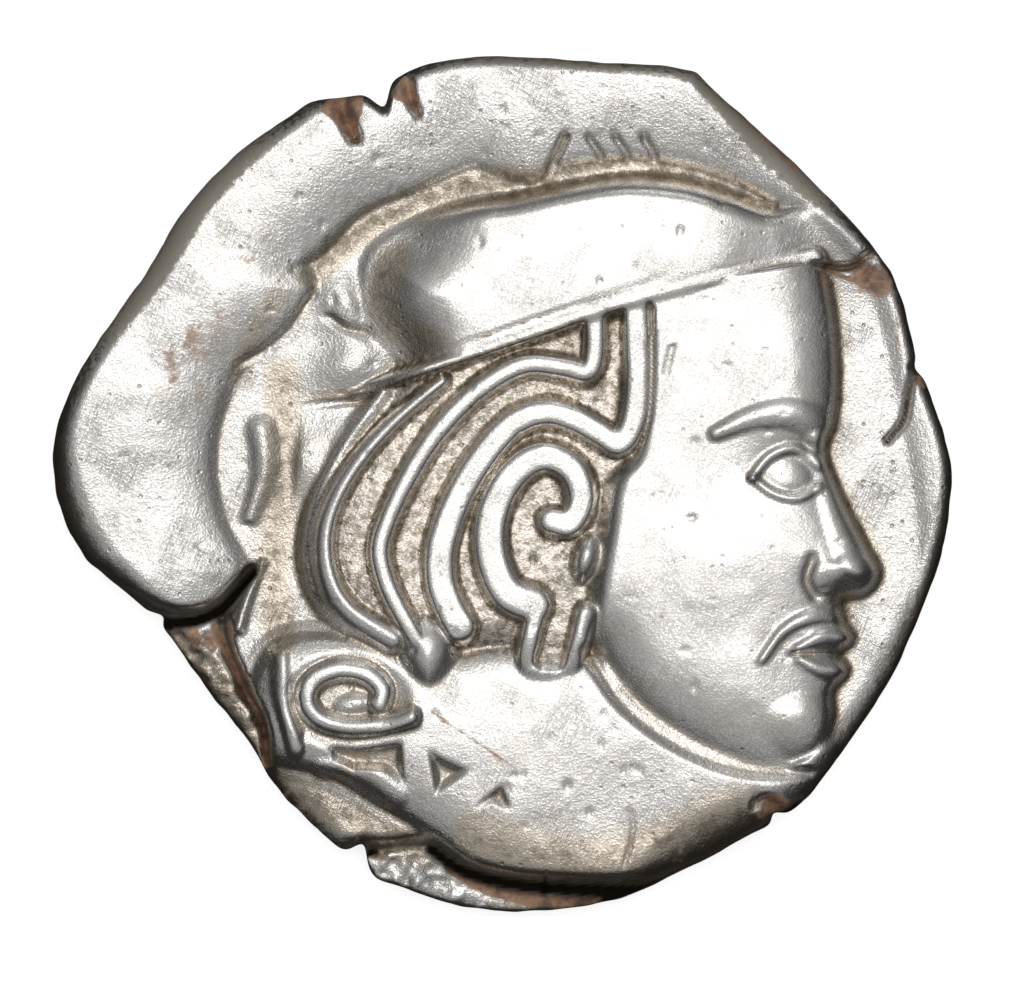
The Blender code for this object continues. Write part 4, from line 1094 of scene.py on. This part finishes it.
@dataclass
class Drachm:
    """The whole coin, laid into the box of its solid."""

    flan: Flan
    border: Border
    bust: Bust
    hair: Hair
    face: Face
    cap: Cap
    torn: TornLayers
    wear: Wear
    reverse: Reverse
    deposits: Deposits
    obverse_count: int = 264
    reverse_count: int = 132
    rim_bands: int = 4
    broad_passes: int = 26
    near_passes: int = 5
    rub_passes: int = 2
    back_passes: int = 8
    # Painted shade on the shoulder and rim, more or less of it round the edge: bearing, size and
    # half width
    edge_shade_by_bearing: Bumps = (
        (140.0, -0.7, 26.0), (180.0, 0.6, 12.0), (-8.0, 0.6, 16.0), (-70.0, 0.5, 16.0),
    )
    # Dust coat on the shoulder and rim: partly dirt, partly painted light that lightens the edge,
    # mostly along its top
    edge_dust_and_painted_light: Bumps = (
        (142.0, 1.0, 26.0), (50.0, 0.9, 16.0), (85.0, 0.7, 20.0), (-120.0, 0.5, 12.0),
    )

    def obverse_level(self, at: Places) -> tuple[Array, Array, Array]:
        """Level of the finished obverse.

        Args:
            at: The places.

        Returns:
            The level, the painted shadow in the gaps of the torn layers, and the gaps of the hair.
        """
        field = self.border.field
        level = self.bust.over(at, field, self.border.level(at))
        level, gaps = self.hair.over(at, field, self.cap.band, level)
        level, cover = self.face.over(at, field, level)
        gaps *= 1 - cover
        level = self.cap.over(at, field, level)
        level, dark = self.torn.over(at, level)
        level = self.wear.over(at, level)
        limit = np.minimum(self.flan.rim_top, level - 2)
        return self.flan.round_over(at, level, limit), dark, gaps

    def rim(self, upper: Array, lower: Array, bearing: Array) -> Array:
        """Rings of the rim between its two edges: level falling evenly, standing out by
        swell * (1 - (2t - 1)^2) less a little seeded roughness.

        Args:
            upper: Level of the upper edge.
            lower: Level of the lower edge.
            bearing: Bearings of both.

        Returns:
            Points of the rings, one ring after the other.
        """
        rings = []
        for band in range(1, self.rim_bands):
            t = band / self.rim_bands
            rough = 0.12 * (1 + ripple(Places(bearing * 24, 9 * t + 0 * bearing), 1.0, 31))
            out = self.flan.rim_swell * (1 - (2 * t - 1)**2) - rough * t * (1 - t) * 4
            ring = self.flan.place(np.ones(bearing.shape), bearing, out)
            rings.append(np.stack([*ring, upper + (lower - upper) * t], axis=1))
        return np.vstack(rings)

    def build(self) -> bpy.types.Object:
        """Builds the closed skin of two faces and the rim, and its marks.

        Returns:
            The coin, at the origin.
        """
        share, bearing = disc_grid(self.obverse_count)
        at = self.flan.place(share, bearing)
        top, dark, gaps = self.obverse_level(at)
        copper = self.deposits.marks(at)
        broad = soften(top, self.obverse_count, self.broad_passes)
        near = soften(top, self.obverse_count, self.near_passes)
        sunk = np.clip((broad - top) / 18, 0, 1) + np.clip((near - top) / 9, 0, 1)
        # The hollow mark also takes the tarnish lines, with their painted shade
        sunk = np.maximum(sunk, self.deposits.tone_and_shade(at))
        proud = np.clip((top - near) / 4, 0, 1)
        worn = ease((top - 66) / 24)
        _, over = self.flan.over(at)
        # Painted shade on the edge, by bearing
        painted_edge_shade = np.clip(1 + bearing_sum(bearing, self.edge_shade_by_bearing), 0, 1.6)
        # Dust coat by bearing, partly painted light
        dust_and_painted_light = np.clip(bearing_sum(bearing, self.edge_dust_and_painted_light), 0, 1)
        upper = np.stack([*at, top], axis=1)

        back_share, back_bearing = disc_grid(self.reverse_count)
        back = self.flan.place(back_share, back_bearing)
        rubbed = soften(self.reverse.level(back), self.reverse_count, self.rub_passes)
        foot = self.flan.round_over(back, rubbed, self.flan.rim_foot)
        _, under = self.flan.over(back)
        lower = np.stack([*back, foot], axis=1)
        plain = soften(foot, self.reverse_count, self.back_passes)
        back_sunk = np.clip((foot - plain) / 5, 0, 1)

        ring, back_ring = ring_of(self.obverse_count), ring_of(self.reverse_count)
        edge = np.interp(np.arange(len(ring)) / 2, np.arange(len(back_ring) + 1),
                         np.append(foot[back_ring], foot[back_ring[0]]))
        rim = self.rim(top[ring], edge, bearing[ring])
        points = np.vstack([upper, rim, lower])
        quads, triangles = self.faces(ring, back_ring, len(upper), len(rim))
        low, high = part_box("drachm")
        points = self.fit(points, Vector(low), Vector(high))

        coin = self.mesh(points, quads, triangles)
        blank, blank_back = np.zeros(len(rim)), np.zeros(len(lower))
        ring_rows = np.tile(ring, self.rim_bands - 1)
        marks = {
            Mark.HOLLOW: (np.clip(sunk, 0, 1), blank, back_sunk),
            Mark.CREST: (proud, blank, blank_back),
            Mark.WORN: (worn, blank, blank_back + 0.5),
            # Painted shade on the obverse's shoulder, on the rim and on the reverse's shoulder
            Mark.EDGE: (painted_edge_shade * (1 - ease(over)), painted_edge_shade[ring_rows], 1 - ease(under)),
            # Dust coat, partly dirt and partly painted light on the edge
            Mark.DUST_AND_PAINTED_LIGHT: (dust_and_painted_light * (1 - ease((over - 0.7) / 0.5)), dust_and_painted_light[ring_rows], blank_back),
            Mark.COPPER: (copper, blank, blank_back),
            # Painted shadow in the torn gaps and the cracks
            Mark.PAINTED_SHADOW: (dark, blank, blank_back),
            Mark.GAP: (gaps, blank, blank_back),
        }
        for mark, parts in marks.items():
            layer = coin.data.attributes.new(mark.value, "FLOAT", "POINT")
            layer.data.foreach_set("value", np.concatenate(parts).astype(np.float32))
        LOG.info("coin: %d vertices, %d faces", len(points), len(quads) + len(triangles))
        return coin

    def faces(self, ring: Array, back_ring: Array, start: int, belt: int
              ) -> tuple[Array, Array]:
        """Faces of the whole skin.

        Args:
            ring: Outermost crossings of the obverse.
            back_ring: Outermost crossings of the reverse.
            start: Number of the obverse's vertices.
            belt: Number of the rim's vertices.

        Returns:
            Four-cornered and three-cornered faces.
        """
        count = len(ring)
        lines = [ring] + [start + count * k + np.arange(count) for k in range(self.rim_bands - 1)]
        quads = [grid_faces(self.obverse_count),
                 grid_faces(self.reverse_count)[:, ::-1] + start + belt]
        for high, low in zip(lines[:-1], lines[1:]):
            quads.append(np.stack([low, np.roll(low, -1), np.roll(high, -1), high], axis=1))
        last, below = lines[-1], back_ring + start + belt
        even, odd = last[0::2], last[1::2]
        following, ahead = np.roll(below, -1), np.roll(even, -1)
        triangles = np.vstack([
            np.stack([below, following, odd], axis=1),
            np.stack([below, odd, even], axis=1),
            np.stack([following, ahead, odd], axis=1),
        ])
        return np.vstack(quads), triangles

    @staticmethod
    def fit(points: Array, low: Vector, high: Vector) -> Array:
        """Scales the drawing along each axis into a box, given by its lowest and highest corner."""
        least, most = points.min(0), points.max(0)
        return np.array(low) + (points - least) / (most - least) * np.array(high - low)

    @staticmethod
    def mesh(points: Array, quads: Array, triangles: Array) -> bpy.types.Object:
        """Makes the object of the skin.

        Args:
            points: Points in metres.
            quads: Four-cornered faces.
            triangles: Three-cornered faces.

        Returns:
            The object, smooth shaded.
        """
        mesh = bpy.data.meshes.new("struck_drachm")
        sizes = np.concatenate([np.full(len(quads), 4), np.full(len(triangles), 3)])
        mesh.vertices.add(len(points))
        mesh.vertices.foreach_set("co", points.astype(np.float32).ravel())
        mesh.loops.add(int(sizes.sum()))
        corners = np.concatenate([quads.ravel(), triangles.ravel()])
        mesh.loops.foreach_set("vertex_index", corners.astype(np.int32))
        mesh.polygons.add(len(sizes))
        starts = np.concatenate([[0], np.cumsum(sizes)[:-1]])
        mesh.polygons.foreach_set("loop_start", starts.astype(np.int32))
        mesh.update(calc_edges=True)
        mesh.validate()
        mesh.shade_smooth()
        coin = bpy.data.objects.new("struck_drachm", mesh)
        bpy.context.scene.collection.objects.link(coin)
        return coin


# Materials


class Graph:
    """A short way to lay out a node tree."""

    def __init__(self, tree: bpy.types.NodeTree) -> None:
        """Takes the tree to add nodes to."""
        self.tree = tree

    def node(self, kind: str, inputs: dict | None = None, **settings: object) -> bpy.types.Node:
        """Adds a node.

        Args:
            kind: Type of the node.
            inputs: Socket or constant for each input, by name or number.
            **settings: Properties of the node.

        Returns:
            The node.
        """
        node = self.tree.nodes.new(kind)
        for name, value in settings.items():
            setattr(node, name, value)
        for name, value in (inputs or {}).items():
            self.feed(node.inputs[name], value)
        return node

    def feed(self, socket: Socket, value: Socket | float | tuple) -> None:
        """Links a socket or sets a constant.

        Args:
            socket: The input.
            value: An output to link, or a constant.
        """
        if isinstance(value, bpy.types.NodeSocket):
            self.tree.links.new(value, socket)
        else:
            socket.default_value = value

    def math(self, operation: str, *values: Socket | float, clamp: bool = False) -> Socket:
        """Adds a sum of two or three values, held from 0 to 1 where it is clamped."""
        node = self.node("ShaderNodeMath", dict(enumerate(values)), operation=operation,
                         use_clamp=clamp)
        return node.outputs[0]

    def times(self, a: Socket | float, b: Socket | float) -> Socket:
        """Product of two values."""
        return self.math("MULTIPLY", a, b)

    def group(self, tree: bpy.types.NodeTree, **inputs: Socket | float
              ) -> bpy.types.bpy_prop_collection:
        """Adds a node group.

        Args:
            tree: The group.
            **inputs: Socket or constant for each of its inputs.

        Returns:
            Its outputs.
        """
        return self.node("ShaderNodeGroup", inputs, node_tree=tree).outputs

    def span(self, value: Socket, low: float, high: float, start: float = 0.0,
             end: float = 1.0) -> Socket:
        """Maps the range from low to high smoothly to the range from start to end."""
        node = self.node("ShaderNodeMapRange", {0: value, 1: low, 2: high, 3: start, 4: end},
                         interpolation_type="SMOOTHSTEP")
        return node.outputs[0]

    def mix(self, share: Socket | float, a: Socket | tuple, b: Socket | tuple,
            kind: str = "MIX") -> Socket:
        """Mixes two colours.

        Args:
            share: Share of the second.
            a: The first colour.
            b: The second colour.
            kind: Kind of mix.

        Returns:
            The mixed colour.
        """
        node = self.node("ShaderNodeMix", data_type="RGBA", blend_type=kind)
        for number, value in ((0, share), (6, a), (7, b)):
            self.feed(node.inputs[number], value)
        return node.outputs[2]

    def noise(self, place: Socket, scale: float | Socket, detail: float = 3.0,
              rough: float = 0.55) -> Socket:
        """Adds cloud-like noise round 0.5: rough is the strength of its finer layers."""
        node = self.node("ShaderNodeTexNoise", {"Vector": place, "Scale": scale,
                                                "Detail": detail, "Roughness": rough})
        return node.outputs["Fac"]


def new_group(name: str, inputs: tuple[str, ...], outputs: tuple[str, ...]
              ) -> tuple[bpy.types.NodeTree, Graph, bpy.types.Node, bpy.types.Node]:
    """Starts a node group whose sockets are numbers, except for the vector "Place".

    Args:
        name: Name of the group.
        inputs: Names of its inputs.
        outputs: Names of its outputs.

    Returns:
        The group, its graph, its input node and its output node.
    """
    group = bpy.data.node_groups.new(name, "ShaderNodeTree")
    for side, labels in (("INPUT", inputs), ("OUTPUT", outputs)):
        for label in labels:
            kind = "NodeSocketVector" if label == "Place" else "NodeSocketFloat"
            group.interface.new_socket(label, in_out=side, socket_type=kind)
    graph = Graph(group)
    return group, graph, graph.node("NodeGroupInput"), graph.node("NodeGroupOutput")


def scratch_group() -> bpy.types.NodeTree:
    """Fine scratches in two directions: noise drawn out along each, kept where it crosses its
    middle value and where a third, broad noise is high.

    Returns:
        The group, with the mask of the scratches.
    """
    group, graph, source, target = new_group("fine_scratches", ("Place", "Length", "Width"),
                                             ("Mask",))
    total: Socket | float = 0.0
    for turn, shift in ((28, 0.0), (112, 7.7)):
        spun = graph.node("ShaderNodeMapping", {
            "Vector": source.outputs["Place"],
            "Location": (shift, shift * 0.7, 0.0),
            "Rotation": (0.0, 0.0, math.radians(turn)),
        })
        parts = graph.node("ShaderNodeSeparateXYZ", {0: spun.outputs[0]})
        drawn = graph.node("ShaderNodeCombineXYZ", {
            0: graph.math("DIVIDE", parts.outputs[0], source.outputs["Length"]),
            1: graph.math("DIVIDE", parts.outputs[1], source.outputs["Width"]),
        })
        lines = graph.noise(drawn.outputs[0], 1.0, 1.0, 0.5)
        off = graph.math("ABSOLUTE", graph.math("SUBTRACT", lines, 0.5))
        total = graph.math("MAXIMUM", total, graph.span(off, 0.0, 0.03, 1.0, 0.0))
    here = graph.span(graph.noise(source.outputs["Place"], 1.3, 0.0), 0.52, 0.66)
    graph.feed(target.inputs["Mask"], graph.times(total, here))
    return group


def grain_group() -> bpy.types.NodeTree:
    """Grain of cleaned old silver: two sizes of noise for the height, a broad one for the tone,
    and small round pores.

    Returns:
        The group, with the height, the tone, the sparkle and the pores.
    """
    group, graph, source, target = new_group("silver_grain", ("Place", "Size"),
                                             ("Height", "Tone", "Sparkle", "Pores"))
    place, size = source.outputs["Place"], source.outputs["Size"]
    fine = graph.noise(place, graph.math("DIVIDE", 1.0, size), 1.0, 0.6)
    coarse = graph.noise(place, graph.math("DIVIDE", 0.36, size), 2.0, 0.6)
    height = graph.math("ADD", graph.times(fine, 0.75), graph.times(coarse, 0.8))
    graph.feed(target.inputs["Height"], height)
    graph.feed(target.inputs["Tone"], graph.noise(place, graph.math("DIVIDE", 0.07, size), 3.0))
    graph.feed(target.inputs["Sparkle"], graph.span(fine, 0.44, 0.66))
    cells = graph.node("ShaderNodeTexVoronoi", {
        "Vector": place,
        "Scale": graph.math("DIVIDE", 0.22, size),
        "Randomness": 1.0,
    })
    pick = graph.node("ShaderNodeSeparateColor", {0: cells.outputs["Color"]})
    chosen = graph.math("GREATER_THAN", pick.outputs[0], 0.8)
    dot = graph.span(cells.outputs["Distance"], 0.08, 0.26, 1.0, 0.0)
    graph.feed(target.inputs["Pores"], graph.times(dot, chosen))
    return group


def deposit_group() -> bpy.types.NodeTree:
    """Breaks a smooth mask up into a ragged one.

    Returns:
        The group, with the mask and the noise that broke it up.
    """
    group, graph, source, target = new_group("ragged_deposit", ("Place", "Amount", "Scale"),
                                             ("Mask", "Shade"))
    rough = graph.noise(source.outputs["Place"], source.outputs["Scale"], 4.0, 0.65)
    lifted = graph.math("ADD", source.outputs["Amount"],
                        graph.times(graph.math("SUBTRACT", rough, 0.5), 1.1))
    graph.feed(target.inputs["Mask"], graph.span(lifted, 0.28, 0.62))
    graph.feed(target.inputs["Shade"], rough)
    return group


class SilverMasks:
    """What the silver is mixed by: the coin's marks, the grain, the scratches and the deposits."""

    def __init__(self, graph: Graph, grain_mm: float) -> None:
        """Reads the marks and adds the groups, which are laid out in millimetres.

        Args:
            graph: Graph of the material.
            grain_mm: Size of the grain.
        """
        place = graph.node("ShaderNodeTexCoord").outputs["Object"]
        scaled = graph.node("ShaderNodeVectorMath", {0: place, 3: 1000.0}, operation="SCALE")
        self.place = scaled.outputs[0]
        self.marks = {
            mark: graph.node("ShaderNodeAttribute", attribute_name=mark.value).outputs["Fac"]
            for mark in Mark
        }
        self.grain = graph.group(grain_group(), Place=self.place, Size=grain_mm)
        scratches = graph.group(scratch_group(), Place=self.place, Length=0.9, Width=0.05)
        self.scratches = scratches["Mask"]
        ragged = deposit_group()
        copper, dust_and_painted_light = self.marks[Mark.COPPER], graph.times(self.marks[Mark.DUST_AND_PAINTED_LIGHT], 0.8)
        # Tarnish in the hollows, painted shade along the tarnish lines, and painted shade on the
        # shoulder and rim
        low = graph.math("MAXIMUM", graph.times(self.marks[Mark.HOLLOW], 0.62),
                         graph.times(self.marks[Mark.EDGE], 0.62))
        self.copper = graph.group(ragged, Place=self.place, Amount=copper, Scale=3.2)
        self.tone_and_shade = graph.group(ragged, Place=self.place, Amount=low, Scale=4.5)
        self.dust_and_painted_light = graph.group(ragged, Place=self.place, Amount=dust_and_painted_light, Scale=9.0)["Mask"]


@dataclass(frozen=True)
class SilverFinish:
    """Looks of the worn silver and of what lies on it."""

    bright: Colour = (0.90, 0.885, 0.87, 1.0)
    dull: Colour = (0.86, 0.83, 0.80, 1.0)
    olive: Colour = (0.70, 0.61, 0.50, 1.0)
    # Dark colours for tarnish in the hollows, also used for the painted shade on the edge and slopes
    tone_and_shade: Colour = (0.30, 0.25, 0.18, 1.0)
    patina_and_shade: Colour = (0.115, 0.09, 0.058, 1.0)
    # Dust coat colour, partly painted light on the edge
    dust_and_painted_light: Colour = (0.40, 0.36, 0.29, 1.0)
    gap_light: Colour = (0.68, 0.60, 0.53, 1.0)
    gap_dark: Colour = (0.21, 0.18, 0.115, 1.0)
    copper: Colour = (0.60, 0.35, 0.21, 1.0)
    rust: Colour = (0.24, 0.13, 0.085, 1.0)
    # Colour of the painted shadow
    painted_shadow: Colour = (0.012, 0.009, 0.007, 1.0)
    crest_share: float = 0.6
    hollow_share: float = 0.85
    scratch_share: float = 0.14
    pore_share: float = 0.34
    speck_share: float = 0.3
    tone_and_shade_share: float = 0.72
    dust_and_painted_light_share: float = 0.85
    gap_share: float = 0.75
    copper_share: float = 0.9
    roughness: float = 0.31
    grain_mm: float = 0.038
    grain_depth: float = 0.000015
    grain_strength: float = 0.68

    def material(self) -> bpy.types.Material:
        """Builds the material."""
        material = bpy.data.materials.new("worn_silver_skin")
        material.use_nodes = True
        graph = Graph(material.node_tree)
        masks = SilverMasks(graph, self.grain_mm)
        shader = material.node_tree.nodes["Principled BSDF"]
        graph.feed(shader.inputs["Base Color"], self.colour(graph, masks))
        self.sheen(graph, masks, shader)
        self.bump(graph, masks, shader)
        return material

    def colour(self, graph: Graph, masks: SilverMasks) -> Socket:
        """Lays the colours over each other, from bare silver up to the painted shadow.

        Args:
            graph: Graph of the material.
            masks: What the layers are mixed by.

        Returns:
            The mixed colour.
        """
        marks, grain = masks.marks, masks.grain
        speck = graph.math("SUBTRACT", 1.0, grain["Sparkle"])
        # Dark colour for tarnish in the hollows and for the painted shade on the edge and slopes
        deep = graph.mix(masks.tone_and_shade["Shade"], self.tone_and_shade, self.patina_and_shade)
        mottle = graph.span(graph.noise(masks.place, 8.0, 3.0, 0.6), 0.4, 0.58)
        floor = graph.mix(mottle, self.gap_dark, self.gap_light)
        red = graph.mix(graph.span(masks.copper["Shade"], 0.4, 0.62), self.rust, self.copper)
        layers = (
            (graph.times(marks[Mark.CREST], self.crest_share), self.bright),
            (graph.span(marks[Mark.HOLLOW], 0.0, 0.5, 0.0, self.hollow_share), self.olive),
            (graph.times(masks.scratches, self.scratch_share), self.tone_and_shade),
            (graph.times(grain["Pores"], self.pore_share), self.tone_and_shade),
            (graph.times(speck, self.speck_share), self.tone_and_shade),
            (graph.times(masks.tone_and_shade["Mask"], self.tone_and_shade_share), deep),
            # Dust coat: partly dirt, partly painted light on the edge
            (graph.times(masks.dust_and_painted_light, self.dust_and_painted_light_share), self.dust_and_painted_light),
            (graph.times(marks[Mark.GAP], self.gap_share), floor),
            (graph.times(masks.copper["Mask"], self.copper_share), red),
            # Painted shadow, laid last over all other layers
            (marks[Mark.PAINTED_SHADOW], self.painted_shadow),
        )
        colour = graph.mix(graph.span(grain["Tone"], 0.34, 0.6), self.dull, self.bright)
        for share, over in layers:
            colour = graph.mix(share, colour, over)
        return colour

    def sheen(self, graph: Graph, masks: SilverMasks, shader: bpy.types.Node) -> None:
        """Makes dirt dull and not metallic, and the painted shadow black, without any gleam.

        Args:
            graph: Graph of the material.
            masks: What the layers are mixed by.
            shader: The shader.
        """
        painted_shadow = masks.marks[Mark.PAINTED_SHADOW]
        dirty = graph.math("MAXIMUM", graph.times(masks.copper["Mask"], 0.85), painted_shadow)
        dirty = graph.math("MAXIMUM", dirty, graph.times(masks.dust_and_painted_light, 0.8))
        rough = graph.math("ADD", self.roughness, graph.times(masks.tone_and_shade["Mask"], 0.12))
        rough = graph.math("ADD", rough, graph.times(dirty, 0.3))
        rough = graph.math("SUBTRACT", rough, graph.times(masks.grain["Sparkle"], 0.1))
        # The painted shadow loses its specular gleam, so it renders black
        graph.feed(shader.inputs["Specular IOR Level"], graph.math("MULTIPLY_ADD", painted_shadow, -0.5, 0.5))
        graph.feed(shader.inputs["Metallic"], graph.math("SUBTRACT", 1.0, dirty, clamp=True))
        graph.feed(shader.inputs["Roughness"], rough)

    def bump(self, graph: Graph, masks: SilverMasks, shader: bpy.types.Node) -> None:
        """Raises the grain and sinks scratches and pores, less on the worn heights.

        Args:
            graph: Graph of the material.
            masks: What the layers are mixed by.
            shader: The shader.
        """
        height = graph.math("SUBTRACT", masks.grain["Height"], graph.times(masks.scratches, 0.25))
        height = graph.math("SUBTRACT", height, graph.times(masks.grain["Pores"], 0.8))
        strength = graph.math("MULTIPLY_ADD", masks.marks[Mark.WORN], -0.6 * self.grain_strength,
                              self.grain_strength)
        bump = graph.node("ShaderNodeBump", {
            "Height": height, "Strength": strength, "Distance": self.grain_depth,
        })
        graph.feed(shader.inputs["Normal"], bump.outputs[0])


@dataclass(frozen=True)
class FloorFinish:
    """Looks of the pale floor."""

    colour: Colour = (0.92, 0.92, 0.92, 1.0)
    cloud: Colour = (0.89, 0.89, 0.885, 1.0)
    shade: Colour = (0.05, 0.048, 0.045, 1.0)
    glow: float = 0.75
    roughness: float = 0.9
    specular: float = 0.1

    def material(self) -> bpy.types.Material:
        """Builds the material: only the camera sees it pale, and the coin reflects it dark."""
        material = bpy.data.materials.new("pale_floor")
        material.use_nodes = True
        graph = Graph(material.node_tree)
        shader = material.node_tree.nodes["Principled BSDF"]
        place = graph.node("ShaderNodeTexCoord").outputs["Object"]
        share = graph.span(graph.noise(place, 30.0, 2.0), 0.3, 0.7)
        tone = graph.mix(share, self.colour, self.cloud)
        seen = graph.node("ShaderNodeLightPath").outputs["Is Camera Ray"]
        graph.feed(shader.inputs["Base Color"], graph.mix(seen, self.shade, tone))
        shader.inputs["Roughness"].default_value = self.roughness
        shader.inputs["Specular IOR Level"].default_value = self.specular
        shader.inputs["Emission Color"].default_value = (1.0, 1.0, 1.0, 1.0)
        graph.feed(shader.inputs["Emission Strength"], graph.times(seen, self.glow))
        return material


# The studio


@dataclass(frozen=True)
class Lamp:
    """A soft round lamp that points at the coin."""

    name: str
    place: tuple[float, float, float]
    width: float
    power: float
    colour: tuple[float, float, float] = (1.0, 1.0, 1.0)


@dataclass
class Studio:
    """Floor, lamps, sky and camera."""

    lamps: tuple[Lamp, ...] = (
        Lamp("overhead", (0.012, 0.065, 0.34), 0.23, 0.21),
        Lamp("top", (0.05, 0.34, 0.16), 0.16, 0.05),
    )
    zenith: float = 0.42
    horizon: float = 0.03
    far: float = 0.16
    floor_size: float = 1.2
    camera_height: float = 0.25
    sensor: float = 0.036
    view_width: float = 0.01763
    view_centre: Point = (0.00013, -0.00023)

    def build(self) -> None:
        """Builds the studio."""
        self.floor()
        for lamp in self.lamps:
            self.light(lamp)
        self.world()
        self.camera()
        LOG.info("studio: %d lamps", len(self.lamps))

    def floor(self) -> None:
        """Lays the floor."""
        half = self.floor_size / 2
        mesh = bpy.data.meshes.new("floor")
        corners = [(-half, -half, 0), (half, -half, 0), (half, half, 0), (-half, half, 0)]
        mesh.from_pydata(corners, [], [(0, 1, 2, 3)])
        mesh.materials.append(FloorFinish().material())
        floor = bpy.data.objects.new("floor", mesh)
        bpy.context.scene.collection.objects.link(floor)

    def light(self, lamp: Lamp) -> None:
        """Hangs a lamp.

        Args:
            lamp: The lamp.
        """
        data = bpy.data.lights.new(lamp.name, "AREA")
        data.shape = "DISK"
        data.size = lamp.width
        data.energy = lamp.power
        data.color = lamp.colour
        thing = bpy.data.objects.new(lamp.name, data)
        thing.location = lamp.place
        thing.rotation_mode = "QUATERNION"
        thing.rotation_quaternion = (-Vector(lamp.place)).to_track_quat("-Z", "Y")
        thing.visible_camera = False
        bpy.context.scene.collection.objects.link(thing)

    def world(self) -> None:
        """Sets a sky that is brightest straight above and darkest on the camera's near side."""
        world = bpy.data.worlds.new("studio_sky")
        world.use_nodes = True
        graph = Graph(world.node_tree)
        sky = world.node_tree.nodes["Background"]
        way = graph.node("ShaderNodeTexCoord").outputs["Generated"]
        parts = graph.node("ShaderNodeSeparateXYZ", {0: way}).outputs
        sky.inputs["Color"].default_value = (1.0, 1.0, 1.0, 1.0)
        overhead = graph.span(parts[2], 0.25, 0.95, self.horizon, self.zenith)
        beyond = graph.span(parts[1], 0.0, 0.9, 0.0, self.far)
        graph.feed(sky.inputs["Strength"], graph.math("ADD", overhead, beyond))
        bpy.context.scene.world = world

    def camera(self) -> None:
        """Sets the camera straight over the coin."""
        data = bpy.data.cameras.new("camera")
        data.sensor_width = self.sensor * 1000
        data.lens = self.sensor * 1000 * self.camera_height / self.view_width
        data.clip_start = 0.01
        data.clip_end = 5.0
        camera = bpy.data.objects.new("camera", data)
        camera.location = (*self.view_centre, self.camera_height)
        bpy.context.scene.collection.objects.link(camera)
        bpy.context.scene.camera = camera


def main() -> None:
    """Builds the scene in order: frame, coin, studio."""
    logging.basicConfig(level=logging.INFO, format="%(name)s: %(message)s")
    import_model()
    drachm = Drachm(Flan(), Border(), Bust(), Hair(), Face(), Cap(), TornLayers(), Wear(),
                    Reverse(), Deposits())
    coin = drachm.build()
    coin.data.materials.append(SilverFinish().material())
    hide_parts("drachm")
    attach(coin, "root")
    Studio().build()
    scene = bpy.context.scene
    scene.view_settings.view_transform = "Standard"
    scene.view_settings.look = "None"


if __name__ == "__main__":
    main()
